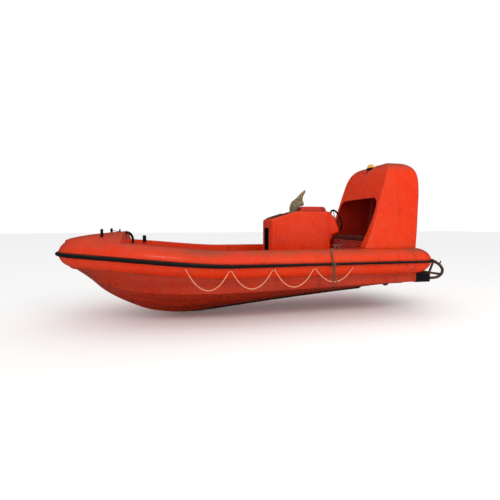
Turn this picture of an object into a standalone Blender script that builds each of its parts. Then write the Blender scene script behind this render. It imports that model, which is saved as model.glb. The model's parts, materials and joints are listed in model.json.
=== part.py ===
"""Open rigid rescue boat with a raised collar, a helm console and a stern shelter.

Units are metres. X runs aft, Y to starboard and Z up. The origin is on the waterline,
on the centreline, midway between the nose and the transom.
"""
import math

import bmesh
import bpy
from mathutils import Matrix, Vector

# Clearance kept between pieces that touch.
GAP = 0.0003

# Collar: a D-shaped tube round the bow and both sides.
NOSE_X = -3.11
PARALLEL_X = -0.60
COLLAR_END_X = 2.97
COLLAR_CAP_LENGTH = 0.32
COLLAR_HALF_BEAM = 1.12
COLLAR_WIDTH = 0.32
COLLAR_ROUND = 0.22
COLLAR_HALF_HEIGHT = 0.225
WELL_NOSE_X = -2.75
FENDER_Z = 0.495
BOW_RISE = 0.172
BOW_RISE_START_X = -0.30
FENDER_HALF_HEIGHT = 0.032
FENDER_DEPTH = 0.05

# Hull below the collar.
TRANSOM_X = 2.99
SOLE_Z = 0.30
BULKHEAD_X = -2.05
FOREPEAK_TOP_Z = 0.60
HULL_INSET = 0.165
KEEL_HALF_WIDTH = 0.03
SKEG_DEPTH = 0.035
SKEG_HALF_WIDTH = 0.022
SKEG_START_X = -1.05
SKEG_END_X = 2.46

# Foredeck posts.
POST_X = -2.36
POST_Y = 0.46
POST_HEIGHT = 0.15
POST_RADIUS = 0.022

# Hoop on the aft face of the foredeck.
HOOP_Z = 0.865
HOOP_HALF_HEIGHT = 0.14
HOOP_DEPTH = 0.095

# Helm console.
CONSOLE_HALF_WIDTH = 0.31
CONSOLE_WALL = 0.02
CONSOLE_TOP_Z = 1.384
WHEEL_RADIUS = 0.205
WHEEL_RIM = 0.018
WHEEL_CENTRE = Vector((1.885, 0.0, 1.225))
WHEEL_TILT = math.radians(19.8)

# Stern shelter.
HOOD_WALL = 0.022
HOOD_BASE_Z = FENDER_Z + COLLAR_HALF_HEIGHT + GAP
ROOF_Z = 2.295
HOOD_FRONT_ROUND = 0.035
HOOD_AFT_ROUND = 0.08
LAMP_SEAT_Z = 2.262

# Engine box, its lid and the seat pad on the lid.
BOX_FRONT_X = 2.16
BOX_AFT_X = 2.90
BOX_HALF_WIDTH = 0.72
BOX_TOP_Z = 0.80
BOX_WALL = 0.02
LID_THICKNESS = 0.03
PAD_THICKNESS = 0.09

# The lid turns about its aft lower edge.
LID_HINGE = Vector((2.89, 0.0, 0.8003))

# Waterjet behind the transom.
JET_Z = 0.06
JET_END_X = 3.255
NOZZLE_PIVOT_X = 3.36
NOZZLE_BOSS = 0.108
BUCKET_RADIUS = 0.168
BUCKET_HALF_WIDTH = 0.127
BUCKET_WALL = 0.012
# Angles above straight aft between which the stowed bucket's shell lies, in degrees.
BUCKET_STOWED = (30.0, 95.0)

# Ropes.
GRAB_PITCH = 0.6925
GRAB_START_X = -1.10
# How far each loop hangs, from forward to aft.
GRAB_SAGS = (0.322, 0.302, 0.298, 0.238)
GRAB_TOP_Z = 0.438
GRAB_RADIUS = 0.007
# How far the collar's skin has fallen back from the fender line at the beckets' height.
GRAB_FALL_BACK = 0.0111
MOORING_RADIUS = 0.011
TAIL_RADIUS = 0.008
ROPE_REST = 0.0016

# name: base colour, roughness, metallic
FINISHES = {
    "orange_gelcoat": ((0.80, 0.10, 0.015), 0.28, 0.0),
    "red_gelcoat": ((0.50, 0.03, 0.015), 0.40, 0.0),
    "black_rubber": ((0.012, 0.012, 0.012), 0.70, 0.0),
    "black_steel": ((0.02, 0.02, 0.02), 0.45, 0.6),
    "stainless": ((0.62, 0.62, 0.62), 0.30, 1.0),
    "cast_alloy": ((0.35, 0.36, 0.37), 0.50, 1.0),
    "grey_engine": ((0.22, 0.24, 0.25), 0.55, 0.2),
    "seat_vinyl": ((0.10, 0.012, 0.010), 0.55, 0.0),
    "olive_canvas": ((0.18, 0.13, 0.06), 0.85, 0.0),
    "amber_lens": ((0.90, 0.45, 0.08), 0.20, 0.0),
    "orange_rope": ((0.85, 0.38, 0.20), 0.80, 0.0),
    "olive_rope": ((0.16, 0.10, 0.04), 0.85, 0.0),
}


def clear_scene():
    for item in list(bpy.data.objects):
        bpy.data.objects.remove(item, do_unlink=True)


def make_collection(name):
    collection = bpy.data.collections.new(name)
    bpy.context.scene.collection.children.link(collection)
    return collection


clear_scene()
PARTS = make_collection("rescue_boat")
CUTTERS = make_collection("cutters")
MATERIALS = {}


def material(name):
    """Principled material from the finish table."""
    if name not in MATERIALS:
        colour, roughness, metallic = FINISHES[name]
        made = bpy.data.materials.new(name)
        made.use_nodes = True
        shader = made.node_tree.nodes["Principled BSDF"]
        shader.inputs["Base Color"].default_value = (*colour, 1.0)
        shader.inputs["Roughness"].default_value = roughness
        shader.inputs["Metallic"].default_value = metallic
        MATERIALS[name] = made
    return MATERIALS[name]


def add_object(name, data, finish, collection=None):
    item = bpy.data.objects.new(name, data)
    (collection or PARTS).objects.link(item)
    if finish:
        data.materials.append(material(finish))
    return item


def finish_mesh(bm, name, finish, collection=None, sharp=40.0):
    """Turn a bmesh into an object with outward faces and smooth round stretches."""
    bmesh.ops.recalc_face_normals(bm, faces=bm.faces[:])
    mesh = bpy.data.meshes.new(name)
    bm.to_mesh(mesh)
    bm.free()
    mesh.shade_smooth()
    mesh.set_sharp_from_angle(angle=math.radians(sharp))
    return add_object(name, mesh, finish, collection)


def loft(name, rings, finish, collection=None):
    """Closed solid through rings of equal point counts, capped at both ends."""
    bm = bmesh.new()
    loops = [[bm.verts.new(point) for point in ring] for ring in rings]
    count = len(loops[0])
    for first, second in zip(loops, loops[1:]):
        for i in range(count):
            j = (i + 1) % count
            bm.faces.new((first[i], first[j], second[j]))
            bm.faces.new((first[i], second[j], second[i]))
    bm.faces.new(loops[0])
    bm.faces.new(loops[-1])
    return finish_mesh(bm, name, finish, collection)


def box(name, low, high, finish, collection=None, bevel=0.0):
    """Rectangular block between two corners."""
    low = Vector(low)
    high = Vector(high)
    bm = bmesh.new()
    bmesh.ops.create_cube(bm, size=1.0)
    size = high - low
    bmesh.ops.scale(bm, vec=size, verts=bm.verts[:])
    bmesh.ops.translate(bm, vec=(low + high) / 2, verts=bm.verts[:])
    item = finish_mesh(bm, name, finish, collection)
    if bevel:
        add_bevel(item, bevel)
    return item


def cylinder(name, start, end, radius, finish, end_radius=None, sides=24, collection=None):
    """Round bar or cone between two points."""
    start = Vector(start)
    end = Vector(end)
    axis = end - start
    bm = bmesh.new()
    bmesh.ops.create_cone(bm, cap_ends=True, segments=sides, radius1=radius,
                          radius2=radius if end_radius is None else end_radius,
                          depth=axis.length)
    turn = Vector((0, 0, 1)).rotation_difference(axis.normalized()).to_matrix().to_4x4()
    bmesh.ops.transform(bm, matrix=Matrix.Translation((start + end) / 2) @ turn,
                        verts=bm.verts[:])
    return finish_mesh(bm, name, finish, collection)


def add_bevel(item, width, segments=2, angle=35.0):
    bevel = item.modifiers.new("rounded_edges", "BEVEL")
    bevel.width = width
    bevel.segments = segments
    bevel.limit_method = "ANGLE"
    bevel.angle_limit = math.radians(angle)
    return bevel


def tube(name, points, radius, finish, resolution=3, collection=None):
    """Round tube through hand-chosen or computed points."""
    curve = bpy.data.curves.new(name, "CURVE")
    curve.dimensions = "3D"
    curve.bevel_depth = radius
    curve.bevel_resolution = resolution
    curve.use_fill_caps = True
    spline = curve.splines.new("POLY")
    spline.points.add(len(points) - 1)
    for slot, point in zip(spline.points, points):
        slot.co = (*point, 1.0)
    spline.use_smooth = True
    return add_object(name, curve, finish, collection)


def side_plate(name, outline, half_width, finish, collection=None):
    """Outline in X and Z, extruded athwartships to both sides of the centreline."""
    curve = bpy.data.curves.new(name, "CURVE")
    curve.dimensions = "2D"
    curve.fill_mode = "BOTH"
    curve.extrude = half_width
    spline = curve.splines.new("POLY")
    spline.points.add(len(outline) - 1)
    for slot, (x, z) in zip(spline.points, outline):
        slot.co = (x, z, 0.0, 1.0)
    spline.use_cyclic_u = True
    item = add_object(name, curve, finish, collection)
    item.rotation_euler = (math.pi / 2, 0.0, 0.0)
    return as_mesh(item)


def as_mesh(item):
    """Replace a curve object by its mesh, with its caps welded."""
    bpy.context.view_layer.update()
    source = item.evaluated_get(bpy.context.evaluated_depsgraph_get())
    mesh = bpy.data.meshes.new_from_object(source)
    mesh.transform(item.matrix_world)
    bm = bmesh.new()
    bm.from_mesh(mesh)
    bmesh.ops.remove_doubles(bm, verts=bm.verts[:], dist=0.00005)
    bmesh.ops.recalc_face_normals(bm, faces=bm.faces[:])
    bm.to_mesh(mesh)
    bm.free()
    name = item.name
    collection = item.users_collection[0]
    curve = item.data
    bpy.data.objects.remove(item, do_unlink=True)
    bpy.data.curves.remove(curve)
    made = bpy.data.objects.new(name, mesh)
    collection.objects.link(made)
    mesh.name = name
    return made


def put_origin(item, point):
    """Move an object's origin onto a joint axis and leave its mesh where it is."""
    item.data.transform(Matrix.Translation(-Vector(point)))
    item.location = point


def as_cutter(item):
    item.hide_render = True
    item.display_type = "WIRE"
    return item


def boolean(item, tool, operation="DIFFERENCE"):
    step = item.modifiers.new(operation.lower(), "BOOLEAN")
    step.operation = operation
    step.object = as_cutter(tool)
    step.solver = "EXACT"
    return step


def round_corners(points, radii, steps=4):
    """Polygon of (x, z) points with each corner replaced by an arc of its radius."""
    result = []
    count = len(points)
    for i, (corner, radius) in enumerate(zip(points, radii)):
        corner = Vector(corner)
        before = (Vector(points[i - 1]) - corner).normalized()
        after = (Vector(points[(i + 1) % count]) - corner).normalized()
        if radius <= 0:
            result.append(tuple(corner))
            continue
        half = before.angle(after) / 2
        reach = radius / math.tan(half)
        start = corner + before * reach
        end = corner + after * reach
        centre = corner + (before + after).normalized() * (radius / math.sin(half))
        from_centre = start - centre
        swing = from_centre.angle_signed(end - centre)
        for step in range(steps + 1):
            turn = Matrix.Rotation(-swing * step / steps, 2)
            result.append(tuple(centre + turn @ from_centre))
    return result


def inset_corners(corners, insets):
    """Outline corners moved inward, each by its own amount."""
    count = len(corners)
    result = []
    for i, inset in enumerate(insets):
        here = Vector(corners[i])
        before = (here - Vector(corners[i - 1])).normalized()
        after = (Vector(corners[(i + 1) % count]) - here).normalized()
        normal_before = Vector((-before.y, before.x))
        normal_after = Vector((-after.y, after.x))
        bisector = (normal_before + normal_after).normalized()
        result.append(here + bisector * inset / bisector.dot(normal_before))
    return result


def rounded_plate(name, outline, half_width, finish, wall=0.0, foot=None, collection=None):
    """Body whose side outline is (X, height, corner radius, side rounding) per corner.

    The side faces meet the outline in an arc of each corner's own rounding. A wall moves
    the whole body inward, and a foot height moves the two lowest corners there.
    """
    corners = [(x, z) for x, z, _, _ in outline]
    rings = []
    turns = (90, 66, 44, 22, 0)
    for sign, order in ((-1, turns), (1, turns[::-1])):
        for degrees in order:
            angle = math.radians(degrees)
            insets = [wall + max(side - wall, 0.004) * (1 - math.cos(angle))
                      for _, _, _, side in outline]
            deepest = max(max(side - wall, 0.004) for _, _, _, side in outline)
            y = sign * (half_width - wall - deepest * (1 - math.sin(angle)))
            placed = inset_corners(corners, insets)
            base = outline[0][1] if foot is None else foot
            placed[0].y = base
            placed[1].y = base
            radii = [max(radius - inset, 0.004) if radius else 0.0
                     for (_, _, radius, _), inset in zip(outline, insets)]
            ring = [Vector((x, y, z)) for x, z in round_corners(placed, radii, 4)]
            rings.append(ring)
    return loft(name, rings, finish, collection)


def smooth_table(table, x):
    """Monotone cubic through a table of rows whose first column is X."""
    rows = sorted(table)
    x = min(max(x, rows[0][0]), rows[-1][0])
    k = 0
    while k < len(rows) - 2 and x > rows[k + 1][0]:
        k += 1
    span = rows[k + 1][0] - rows[k][0]
    t = (x - rows[k][0]) / span
    values = []
    for column in range(1, len(rows[0])):
        def slope(i):
            if i <= 0 or i >= len(rows) - 1:
                j = min(max(i, 0), len(rows) - 2)
                return (rows[j + 1][column] - rows[j][column]) / (rows[j + 1][0] - rows[j][0])
            left = (rows[i][column] - rows[i - 1][column]) / (rows[i][0] - rows[i - 1][0])
            right = (rows[i + 1][column] - rows[i][column]) / (rows[i + 1][0] - rows[i][0])
            if left * right <= 0:
                return 0.0
            return 2 * left * right / (left + right)
        y0 = rows[k][column]
        y1 = rows[k + 1][column]
        m0 = slope(k) * span
        m1 = slope(k + 1) * span
        values.append((2 * t**3 - 3 * t**2 + 1) * y0 + (t**3 - 2 * t**2 + t) * m0
                      + (3 * t**2 - 2 * t**3) * y1 + (t**3 - t**2) * m1)
    return values


# Collar, fender and the plan curves that they share


def fender_height(x):
    """Height of the collar's widest line, which rises towards the bow."""
    reach = BOW_RISE_START_X - NOSE_X
    share = min(max((BOW_RISE_START_X - x) / reach, 0.0), 1.0)
    return FENDER_Z + BOW_RISE * math.sin(math.pi / 2 * share) ** 1.6


def plan_point(angle, nose_x, half_beam):
    """Point on the bow's plan curve: angle 0 is the nose, a quarter turn the parallel side."""
    power = 2 / 2.1
    x = PARALLEL_X - (PARALLEL_X - nose_x) * math.cos(angle) ** power
    return Vector((x, half_beam * math.sin(angle) ** power))


def half_beam_at(x, nose_x=NOSE_X, half_beam=COLLAR_HALF_BEAM):
    """Half-breadth of a bow curve at one X."""
    if x >= PARALLEL_X:
        return half_beam
    share = min((PARALLEL_X - x) / (PARALLEL_X - nose_x), 1.0)
    return half_beam * max(1 - share**2.1, 0.0) ** (1 / 2.1)


# Collar section: share of the way in from the outer skin, height from the fender line.
def collar_section():
    points = []
    for step in range(9):
        angle = math.radians(-90 + 22.5 * step)
        points.append((COLLAR_ROUND * (1 - math.cos(angle)) / COLLAR_WIDTH,
                       COLLAR_HALF_HEIGHT * math.sin(angle)))
    points.append((0.93, COLLAR_HALF_HEIGHT))
    points.append((1.0, COLLAR_HALF_HEIGHT - 0.022))
    points.append((1.0, -COLLAR_HALF_HEIGHT))
    return points


def bow_frames():
    """Outer and inner plan points round the bow, from port to starboard."""
    frames = []
    angles = [90, 78, 66, 55, 45, 36, 28, 20, 13, 6.5, 0]
    for sign, order in ((-1, angles), (1, angles[-2::-1])):
        for degrees in order:
            angle = math.radians(degrees)
            outer = plan_point(angle, NOSE_X, COLLAR_HALF_BEAM)
            inner = plan_point(angle, WELL_NOSE_X, COLLAR_HALF_BEAM - COLLAR_WIDTH)
            z = fender_height(outer.x)
            frames.append((Vector((outer.x, sign * outer.y)),
                           Vector((inner.x, sign * inner.y)), z, 1.0))
    return frames


def side_frames(sign, start=PARALLEL_X, grow=0.0):
    """Frames along one straight side and round its closed aft end."""
    frames = []
    for x in (start, BOW_RISE_START_X, 1.2, COLLAR_END_X):
        frames.append((x, 1.0))
    for degrees in (22, 42, 60, 74, 84):
        angle = math.radians(degrees)
        frames.append((COLLAR_END_X + (COLLAR_CAP_LENGTH + grow) * math.sin(angle),
                       math.cos(angle)))
    return [(Vector((x, sign * COLLAR_HALF_BEAM)),
             Vector((x, sign * (COLLAR_HALF_BEAM - COLLAR_WIDTH))), fender_height(x), scale)
            for x, scale in frames]


def section_ring(frame, section, grow=0.0):
    """A section placed on one frame, shrunk about the tube's middle on the closed ends."""
    outer, inner, z, scale = frame
    middle = COLLAR_ROUND / COLLAR_WIDTH
    wide = 1 + 2 * grow / COLLAR_WIDTH
    ring = []
    for share, rise in section:
        share = 0.5 + (share - 0.5) * wide
        share = middle + (share - middle) * scale
        plan = outer.lerp(inner, share)
        height = z + rise * scale * (1 + grow / COLLAR_HALF_HEIGHT)
        ring.append(Vector((plan.x, plan.y, height)))
    return ring


def make_collar():
    section = collar_section()
    loft("collar_bow", [section_ring(f, section) for f in bow_frames()], "orange_gelcoat")
    for name, sign in (("collar_port", -1), ("collar_starboard", 1)):
        frames = side_frames(sign, PARALLEL_X + GAP)
        loft(name, [section_ring(f, section) for f in frames], "orange_gelcoat")


def collar_cutter():
    """The whole collar grown by the clearance, which shapes what lies against it."""
    frames = side_frames(-1, grow=GAP)[:0:-1] + bow_frames() + side_frames(1, grow=GAP)[1:]
    rings = [section_ring(f, collar_section(), GAP) for f in frames]
    return loft("collar_space", rings, None, CUTTERS)


def make_fender():
    """Rubber strake in three lengths along the collar's widest line."""
    first_rise = COLLAR_HALF_HEIGHT * math.sin(math.radians(22.5))
    first_share = COLLAR_ROUND * (1 - math.cos(math.radians(22.5))) / COLLAR_WIDTH
    skin = first_share * FENDER_HALF_HEIGHT / first_rise
    near = -GAP / COLLAR_WIDTH
    proud = -FENDER_DEPTH / COLLAR_WIDTH
    section = [
        (near, 0.0),
        (near + skin, FENDER_HALF_HEIGHT),
        (0.62 * proud, 0.92 * FENDER_HALF_HEIGHT),
        (0.93 * proud, 0.55 * FENDER_HALF_HEIGHT),
        (proud, 0.0),
        (0.93 * proud, -0.55 * FENDER_HALF_HEIGHT),
        (0.62 * proud, -0.92 * FENDER_HALF_HEIGHT),
        (near + skin, -FENDER_HALF_HEIGHT),
    ]
    loft("fender_bow", [section_ring(f, section) for f in bow_frames()], "black_rubber")
    for name, sign in (("fender_port", -1), ("fender_starboard", 1)):
        frames = []
        for outer, inner, z, scale in side_frames(sign, PARALLEL_X + GAP)[:8]:
            middle = outer.lerp(inner, COLLAR_ROUND / COLLAR_WIDTH)
            frames.append((middle.lerp(outer, scale), middle.lerp(inner, scale), z, 1.0))
        rings = []
        for frame in frames:
            width = (frame[0] - frame[1]).length
            stretched = [(share * COLLAR_WIDTH / width, rise) for share, rise in section]
            outer, inner, z, _ = frame
            ring = []
            for share, rise in stretched:
                plan = outer.lerp(inner, share)
                ring.append(Vector((plan.x, plan.y, z + rise)))
            rings.append(ring)
        loft(name, rings, "black_rubber")


# Hull: X, keel height, chine half-breadth, chine height
HULL_LINES = [
    (-2.90, 0.420, 0.03, 0.455),
    (-2.66, 0.238, 0.24, 0.330),
    (-2.41, 0.010, 0.42, 0.215),
    (-2.06, -0.197, 0.60, 0.120),
    (-1.60, -0.375, 0.76, 0.066),
    (-1.10, -0.432, 0.87, 0.048),
    (-0.50, -0.372, 0.93, 0.047),
    (0.50, -0.270, 0.95, 0.064),
    (1.75, -0.162, 0.95, 0.097),
    (2.99, -0.070, 0.95, 0.124),
]


def hull_half_section(x):
    """Half section from the keel to the top edge, with a spray rail and a chine flat."""
    keel, chine_half, chine = smooth_table(HULL_LINES, x)
    fade = min(max((x + 2.75) / 0.9, 0.0), 1.0)
    flat = 0.045 * fade
    keel_half = min(KEEL_HALF_WIDTH, 0.5 * chine_half)
    inner = Vector((chine_half - flat, chine))
    root = Vector((keel_half, keel))
    rail_start = root.lerp(inner, 0.50)
    rail_out = root.lerp(inner, 0.50 + 0.07 * fade)
    rail_end = root.lerp(inner, 0.505 + 0.072 * fade)
    top_half = max(half_beam_at(x) - HULL_INSET, 0.05)
    return [
        (root.x, root.y),
        (rail_start.x, rail_start.y),
        (rail_out.x, rail_start.y - 0.004 * fade),
        (rail_end.x, rail_end.y),
        (inner.x, inner.y),
        (chine_half + 0.002, chine - 0.006 * fade),
        (chine_half + 0.002, chine + 0.012),
        (top_half, max(fender_height(x) - COLLAR_HALF_HEIGHT, chine + 0.02)),
        (top_half, FOREPEAK_TOP_Z),
    ]


def make_hull():
    stations = [-2.90, -2.78, -2.66, -2.54, -2.41, -2.24, -2.06, -1.84, -1.60, -1.35, -1.10,
                -0.80, -0.50, 0.0, 0.5, 1.1, 1.75, 2.4, TRANSOM_X]
    rings = []
    for x in stations:
        half = hull_half_section(x)
        ring = [Vector((x, y, z)) for y, z in half]
        ring += [Vector((x, -y, z)) for y, z in reversed(half)]
        rings.append(ring)
    hull = loft("hull_bottom", rings, "orange_gelcoat")
    boolean(hull, collar_cutter())
    boolean(hull, well_cutter())
    pocket = box("engine_pocket", (BOX_FRONT_X + 0.03, -0.36, 0.05),
                 (BOX_AFT_X - 0.03, 0.36, SOLE_Z + 0.2), None, CUTTERS)
    boolean(hull, pocket)


def well_cutter():
    """Room inside the collar above the cockpit sole."""
    half = COLLAR_HALF_BEAM - COLLAR_WIDTH
    outline = []
    for degrees in (78, 66, 55, 45):
        point = plan_point(math.radians(degrees), WELL_NOSE_X, half)
        if point.x > BULKHEAD_X:
            outline.append((point.x, point.y))
    outline.append((BULKHEAD_X, half_beam_at(BULKHEAD_X, WELL_NOSE_X, half)))
    port = [(x, -y) for x, y in reversed(outline)]
    aft = TRANSOM_X + 0.2
    ring = [(aft, half), (PARALLEL_X, half)] + outline + port + [(PARALLEL_X, -half), (aft, -half)]
    rings = [[Vector((x, y, z)) for x, y in ring] for z in (SOLE_Z, FOREPEAK_TOP_Z + 0.1)]
    return loft("well_space", rings, None, CUTTERS)


def make_skeg():
    """Keel bar under the hull, faired at both ends."""
    rings = []
    for x, share in ((SKEG_START_X, 0.15), (-0.80, 0.7), (-0.50, 1.0), (0.0, 1.0), (0.5, 1.0),
                     (1.1, 1.0), (1.75, 1.0), (2.4, 1.0), (SKEG_END_X, 0.3)):
        keel = skeg_top(x) - GAP
        low = keel - SKEG_DEPTH * share
        w = SKEG_HALF_WIDTH
        rings.append([Vector((x, -w, low)), Vector((x, w, low)), Vector((x, w, keel)),
                      Vector((x, -w, keel))])
    loft("keel_skeg", rings, "black_rubber")


def skeg_top(x):
    """Keel height on the straight facets between the hull's stations."""
    stations = [-1.10, -0.80, -0.50, 0.0, 0.5, 1.1, 1.75, 2.4, TRANSOM_X]
    for low, high in zip(stations, stations[1:]):
        if low <= x <= high:
            share = (x - low) / (high - low)
            first = smooth_table(HULL_LINES, low)[0]
            second = smooth_table(HULL_LINES, high)[0]
            return first + (second - first) * share
    return smooth_table(HULL_LINES, x)[0]


# Foredeck and its fittings

# X, centre height of the domed deck
DECK_LINE = [(-2.82, 0.905), (-2.687, 0.950), (-2.445, 0.988), (-2.185, 1.022), (-2.05, 1.036)]


def deck_edge(x):
    """Half-breadth of the deck's edge, which rests on the collar's crown."""
    half = COLLAR_HALF_BEAM - COLLAR_WIDTH + 0.05
    return half_beam_at(x, WELL_NOSE_X - 0.07, half)


def deck_height(x, y):
    edge = fender_height(x) + COLLAR_HALF_HEIGHT + 0.012
    centre = smooth_table(DECK_LINE, x)[0]
    share = min(abs(y) / deck_edge(x), 1.0)
    return edge + max(centre - edge, 0.004) * (1 - share**3) ** 0.55


def deck_rings(grow=0.0):
    """Sections of the domed deck from its nose to the bulkhead."""
    rings = []
    for x in (-2.815, -2.79, -2.74, -2.66, -2.56, -2.44, -2.32, -2.18, BULKHEAD_X):
        half = deck_edge(x)
        shares = (1.0, 0.97, 0.9, 0.78, 0.6, 0.35, 0.0)
        across = [half * s for s in shares] + [-half * s for s in shares[-2::-1]]
        top = [Vector((x, y, deck_height(x, y) + grow)) for y in across]
        low = FOREPEAK_TOP_Z + GAP
        ring = top + [Vector((x, -half, low)), Vector((x, half, low))]
        rings.append(ring)
    return rings


def make_foredeck():
    deck = loft("foredeck", deck_rings(), "orange_gelcoat")
    boolean(deck, bpy.data.objects["collar_space"])


def deck_cutter():
    return loft("deck_space", deck_rings(GAP), None, CUTTERS)


def make_deck_fittings():
    deck_space = deck_cutter()
    for name, side in (("mooring_post_port", -1), ("mooring_post_starboard", 1)):
        y = side * POST_Y
        foot = deck_height(POST_X, y) - 0.03
        post = cylinder(name, (POST_X, y, foot), (POST_X, y, foot + POST_HEIGHT), POST_RADIUS,
                        "black_steel")
        boolean(post, deck_space)
    post_top = 0.955
    cylinder("tow_post", (-1.747, 0.0, SOLE_Z + GAP), (-1.747, 0.0, post_top), 0.03,
             "black_steel")
    foot_x = BULKHEAD_X + GAP
    points = [(foot_x, 0.0, HOOP_Z + HOOP_HALF_HEIGHT)]
    for step in range(11):
        angle = math.radians(90 - 18 * step)
        points.append((foot_x + 0.015 + HOOP_DEPTH * math.cos(angle), 0.0,
                       HOOP_Z + HOOP_HALF_HEIGHT * math.sin(angle)))
    points.append((foot_x, 0.0, HOOP_Z - HOOP_HALF_HEIGHT))
    tube("bow_hoop", points, 0.021, "black_steel")


# Helm console

# X, height, corner radius and side rounding of the console's side outline
CONSOLE_OUTLINE = [
    (0.47, SOLE_Z + GAP, 0.0, 0.05),
    (1.635, SOLE_Z + GAP, 0.0, 0.045),
    (1.635, 0.925, 0.03, 0.045),
    (1.83, 1.00, 0.05, 0.045),
    (1.72, 1.275, 0.06, 0.045),
    (1.605, CONSOLE_TOP_Z, 0.05, 0.045),
    (0.965, CONSOLE_TOP_Z, 0.12, 0.045),
    (0.47, 1.232, 0.06, 0.05),
]


def make_console():
    shell = rounded_plate("console_shell", CONSOLE_OUTLINE, CONSOLE_HALF_WIDTH,
                          "orange_gelcoat")
    room = rounded_plate("console_room", CONSOLE_OUTLINE, CONSOLE_HALF_WIDTH - 0.004, None,
                         CONSOLE_WALL, SOLE_Z - 0.1, CUTTERS)
    boolean(shell, room)
    slot = box("console_slot", (0.30, -0.13, 0.42), (0.60, 0.13, 1.07), None, CUTTERS)
    boolean(shell, slot)
    foot = CONSOLE_TOP_Z + GAP
    pod_outline = [(1.035, foot, 0.0, 0.03), (1.583, foot, 0.0, 0.03), (1.553, 1.455, 0.02, 0.03),
                   (1.505, 1.475, 0.02, 0.03), (1.112, 1.475, 0.03, 0.03)]
    rounded_plate("instrument_pod", pod_outline, 0.235, "red_gelcoat")
    box("throttle_box", (1.30, 0.2353, foot), (1.42, 0.264, 1.46), "black_steel", bevel=0.006)


def wheel_matrix():
    """Wheel frame: local Z runs out of the console along the column."""
    return Matrix.Translation(WHEEL_CENTRE) @ Matrix.Rotation(math.pi / 2 - WHEEL_TILT, 4, "Y")


def make_steering():
    frame = wheel_matrix()
    bpy.ops.mesh.primitive_torus_add(major_radius=WHEEL_RADIUS, minor_radius=WHEEL_RIM,
                                     major_segments=40, minor_segments=10)
    rim = bpy.context.active_object
    rim.name = "steering_wheel"
    rim.data.name = "steering_wheel"
    for owner in list(rim.users_collection):
        owner.objects.unlink(rim)
    PARTS.objects.link(rim)
    rim.matrix_world = frame
    rim.data.materials.append(material("black_rubber"))
    rim.data.shade_smooth()
    hub = cylinder("wheel_hub", (0, 0, -0.03), (0, 0, 0.014), 0.042, None, collection=CUTTERS)
    hub.matrix_world = frame
    boolean(rim, hub, "UNION")
    for number in range(3):
        angle = math.radians(120 * number)
        direction = Vector((math.cos(angle), math.sin(angle), 0))
        spoke = cylinder("wheel_spoke_%d" % number, direction * 0.03,
                         direction * (WHEEL_RADIUS - 0.005), 0.010, None, sides=10,
                         collection=CUTTERS)
        spoke.matrix_world = frame
        boolean(rim, spoke, "UNION")
    axis = frame.to_3x3() @ Vector((0, 0, 1))
    column_top = WHEEL_CENTRE - axis * (0.03 + GAP)
    column_foot = WHEEL_CENTRE - axis * 0.16
    column = cylinder("steering_column", column_foot, column_top, 0.035, "black_steel")
    boolean(column, console_space())


def console_space():
    """Console outline grown by the clearance, used to seat the column on its aft face."""
    corners = [(x, z) for x, z, _, _ in CONSOLE_OUTLINE]
    grown = inset_corners(corners, [-GAP] * len(corners))
    return side_plate("console_outer_space", grown, CONSOLE_HALF_WIDTH, None, CUTTERS)


COVER_Y = -0.10
# height, fore X, aft X, half-width
COVER_LEVELS = [
    (1.330, 0.880, 1.020, 0.084),
    (1.430, 0.887, 1.040, 0.086),
    (1.474, 0.896, 1.082, 0.090),
    (1.487, 0.899, 1.145, 0.088),
    (1.510, 0.906, 1.170, 0.084),
    (1.560, 0.929, 1.161, 0.070),
    (1.600, 0.975, 1.141, 0.055),
    (1.640, 1.024, 1.144, 0.046),
    (1.700, 1.082, 1.171, 0.036),
    (1.755, 1.138, 1.198, 0.022),
    (1.784, 1.178, 1.196, 0.009),
]


def make_cover():
    """Canvas cover tied over the console lamp: it sags over the pod's front edge and its
    peak has fallen aft."""
    rings = []
    for z, fore_x, aft_x, half_width in COVER_LEVELS:
        ring = []
        for step in range(16):
            angle = math.tau * step / 16
            ring.append(Vector(((fore_x + aft_x) / 2 + (aft_x - fore_x) / 2 * math.cos(angle),
                                COVER_Y + half_width * math.sin(angle), z)))
        rings.append(ring)
    cover = loft("lamp_cover", rings, "olive_canvas")
    boolean(cover, bpy.data.objects["console_outer_space"])


# Stern shelter

# height, front X, aft X, half-width
HOOD_LINES = [
    (0.72, 2.046, 3.075, 0.860),
    (1.10, 2.196, 3.120, 0.822),
    (1.48, 2.313, 3.150, 0.790),
    (1.74, 2.389, 3.168, 0.770),
    (1.95, 2.455, 3.160, 0.755),
    (2.05, 2.490, 3.145, 0.735),
    (2.14, 2.527, 3.120, 0.695),
    (2.20, 2.562, 3.085, 0.645),
    (2.25, 2.605, 3.030, 0.575),
    (2.28, 2.650, 2.975, 0.490),
    (ROOF_Z, 2.720, 2.900, 0.400),
]
# half-width and height of the doorway's edge, from its foot to the middle of its head
DOORWAY = [(0.67, 0.60), (0.67, 0.80), (0.70, 1.05), (0.72, 1.30), (0.72, 1.46), (0.703, 1.53),
           (0.66, 1.59), (0.59, 1.628), (0.50, 1.64), (0.0, 1.645)]


def hood_ring(height, inset, lowered):
    """Rounded rectangle in plan at one height of the shelter, moved inward and down."""
    front, aft, half = smooth_table(HOOD_LINES, height)
    corners = [(front + inset, half - inset), (aft - inset, half - inset),
               (aft - inset, -half + inset), (front + inset, -half + inset)]
    radii = [max(r - inset, 0.01) for r in
             (HOOD_FRONT_ROUND, HOOD_AFT_ROUND, HOOD_AFT_ROUND, HOOD_FRONT_ROUND)]
    return [Vector((x, y, height - lowered)) for x, y in round_corners(corners, radii, 4)]


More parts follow.
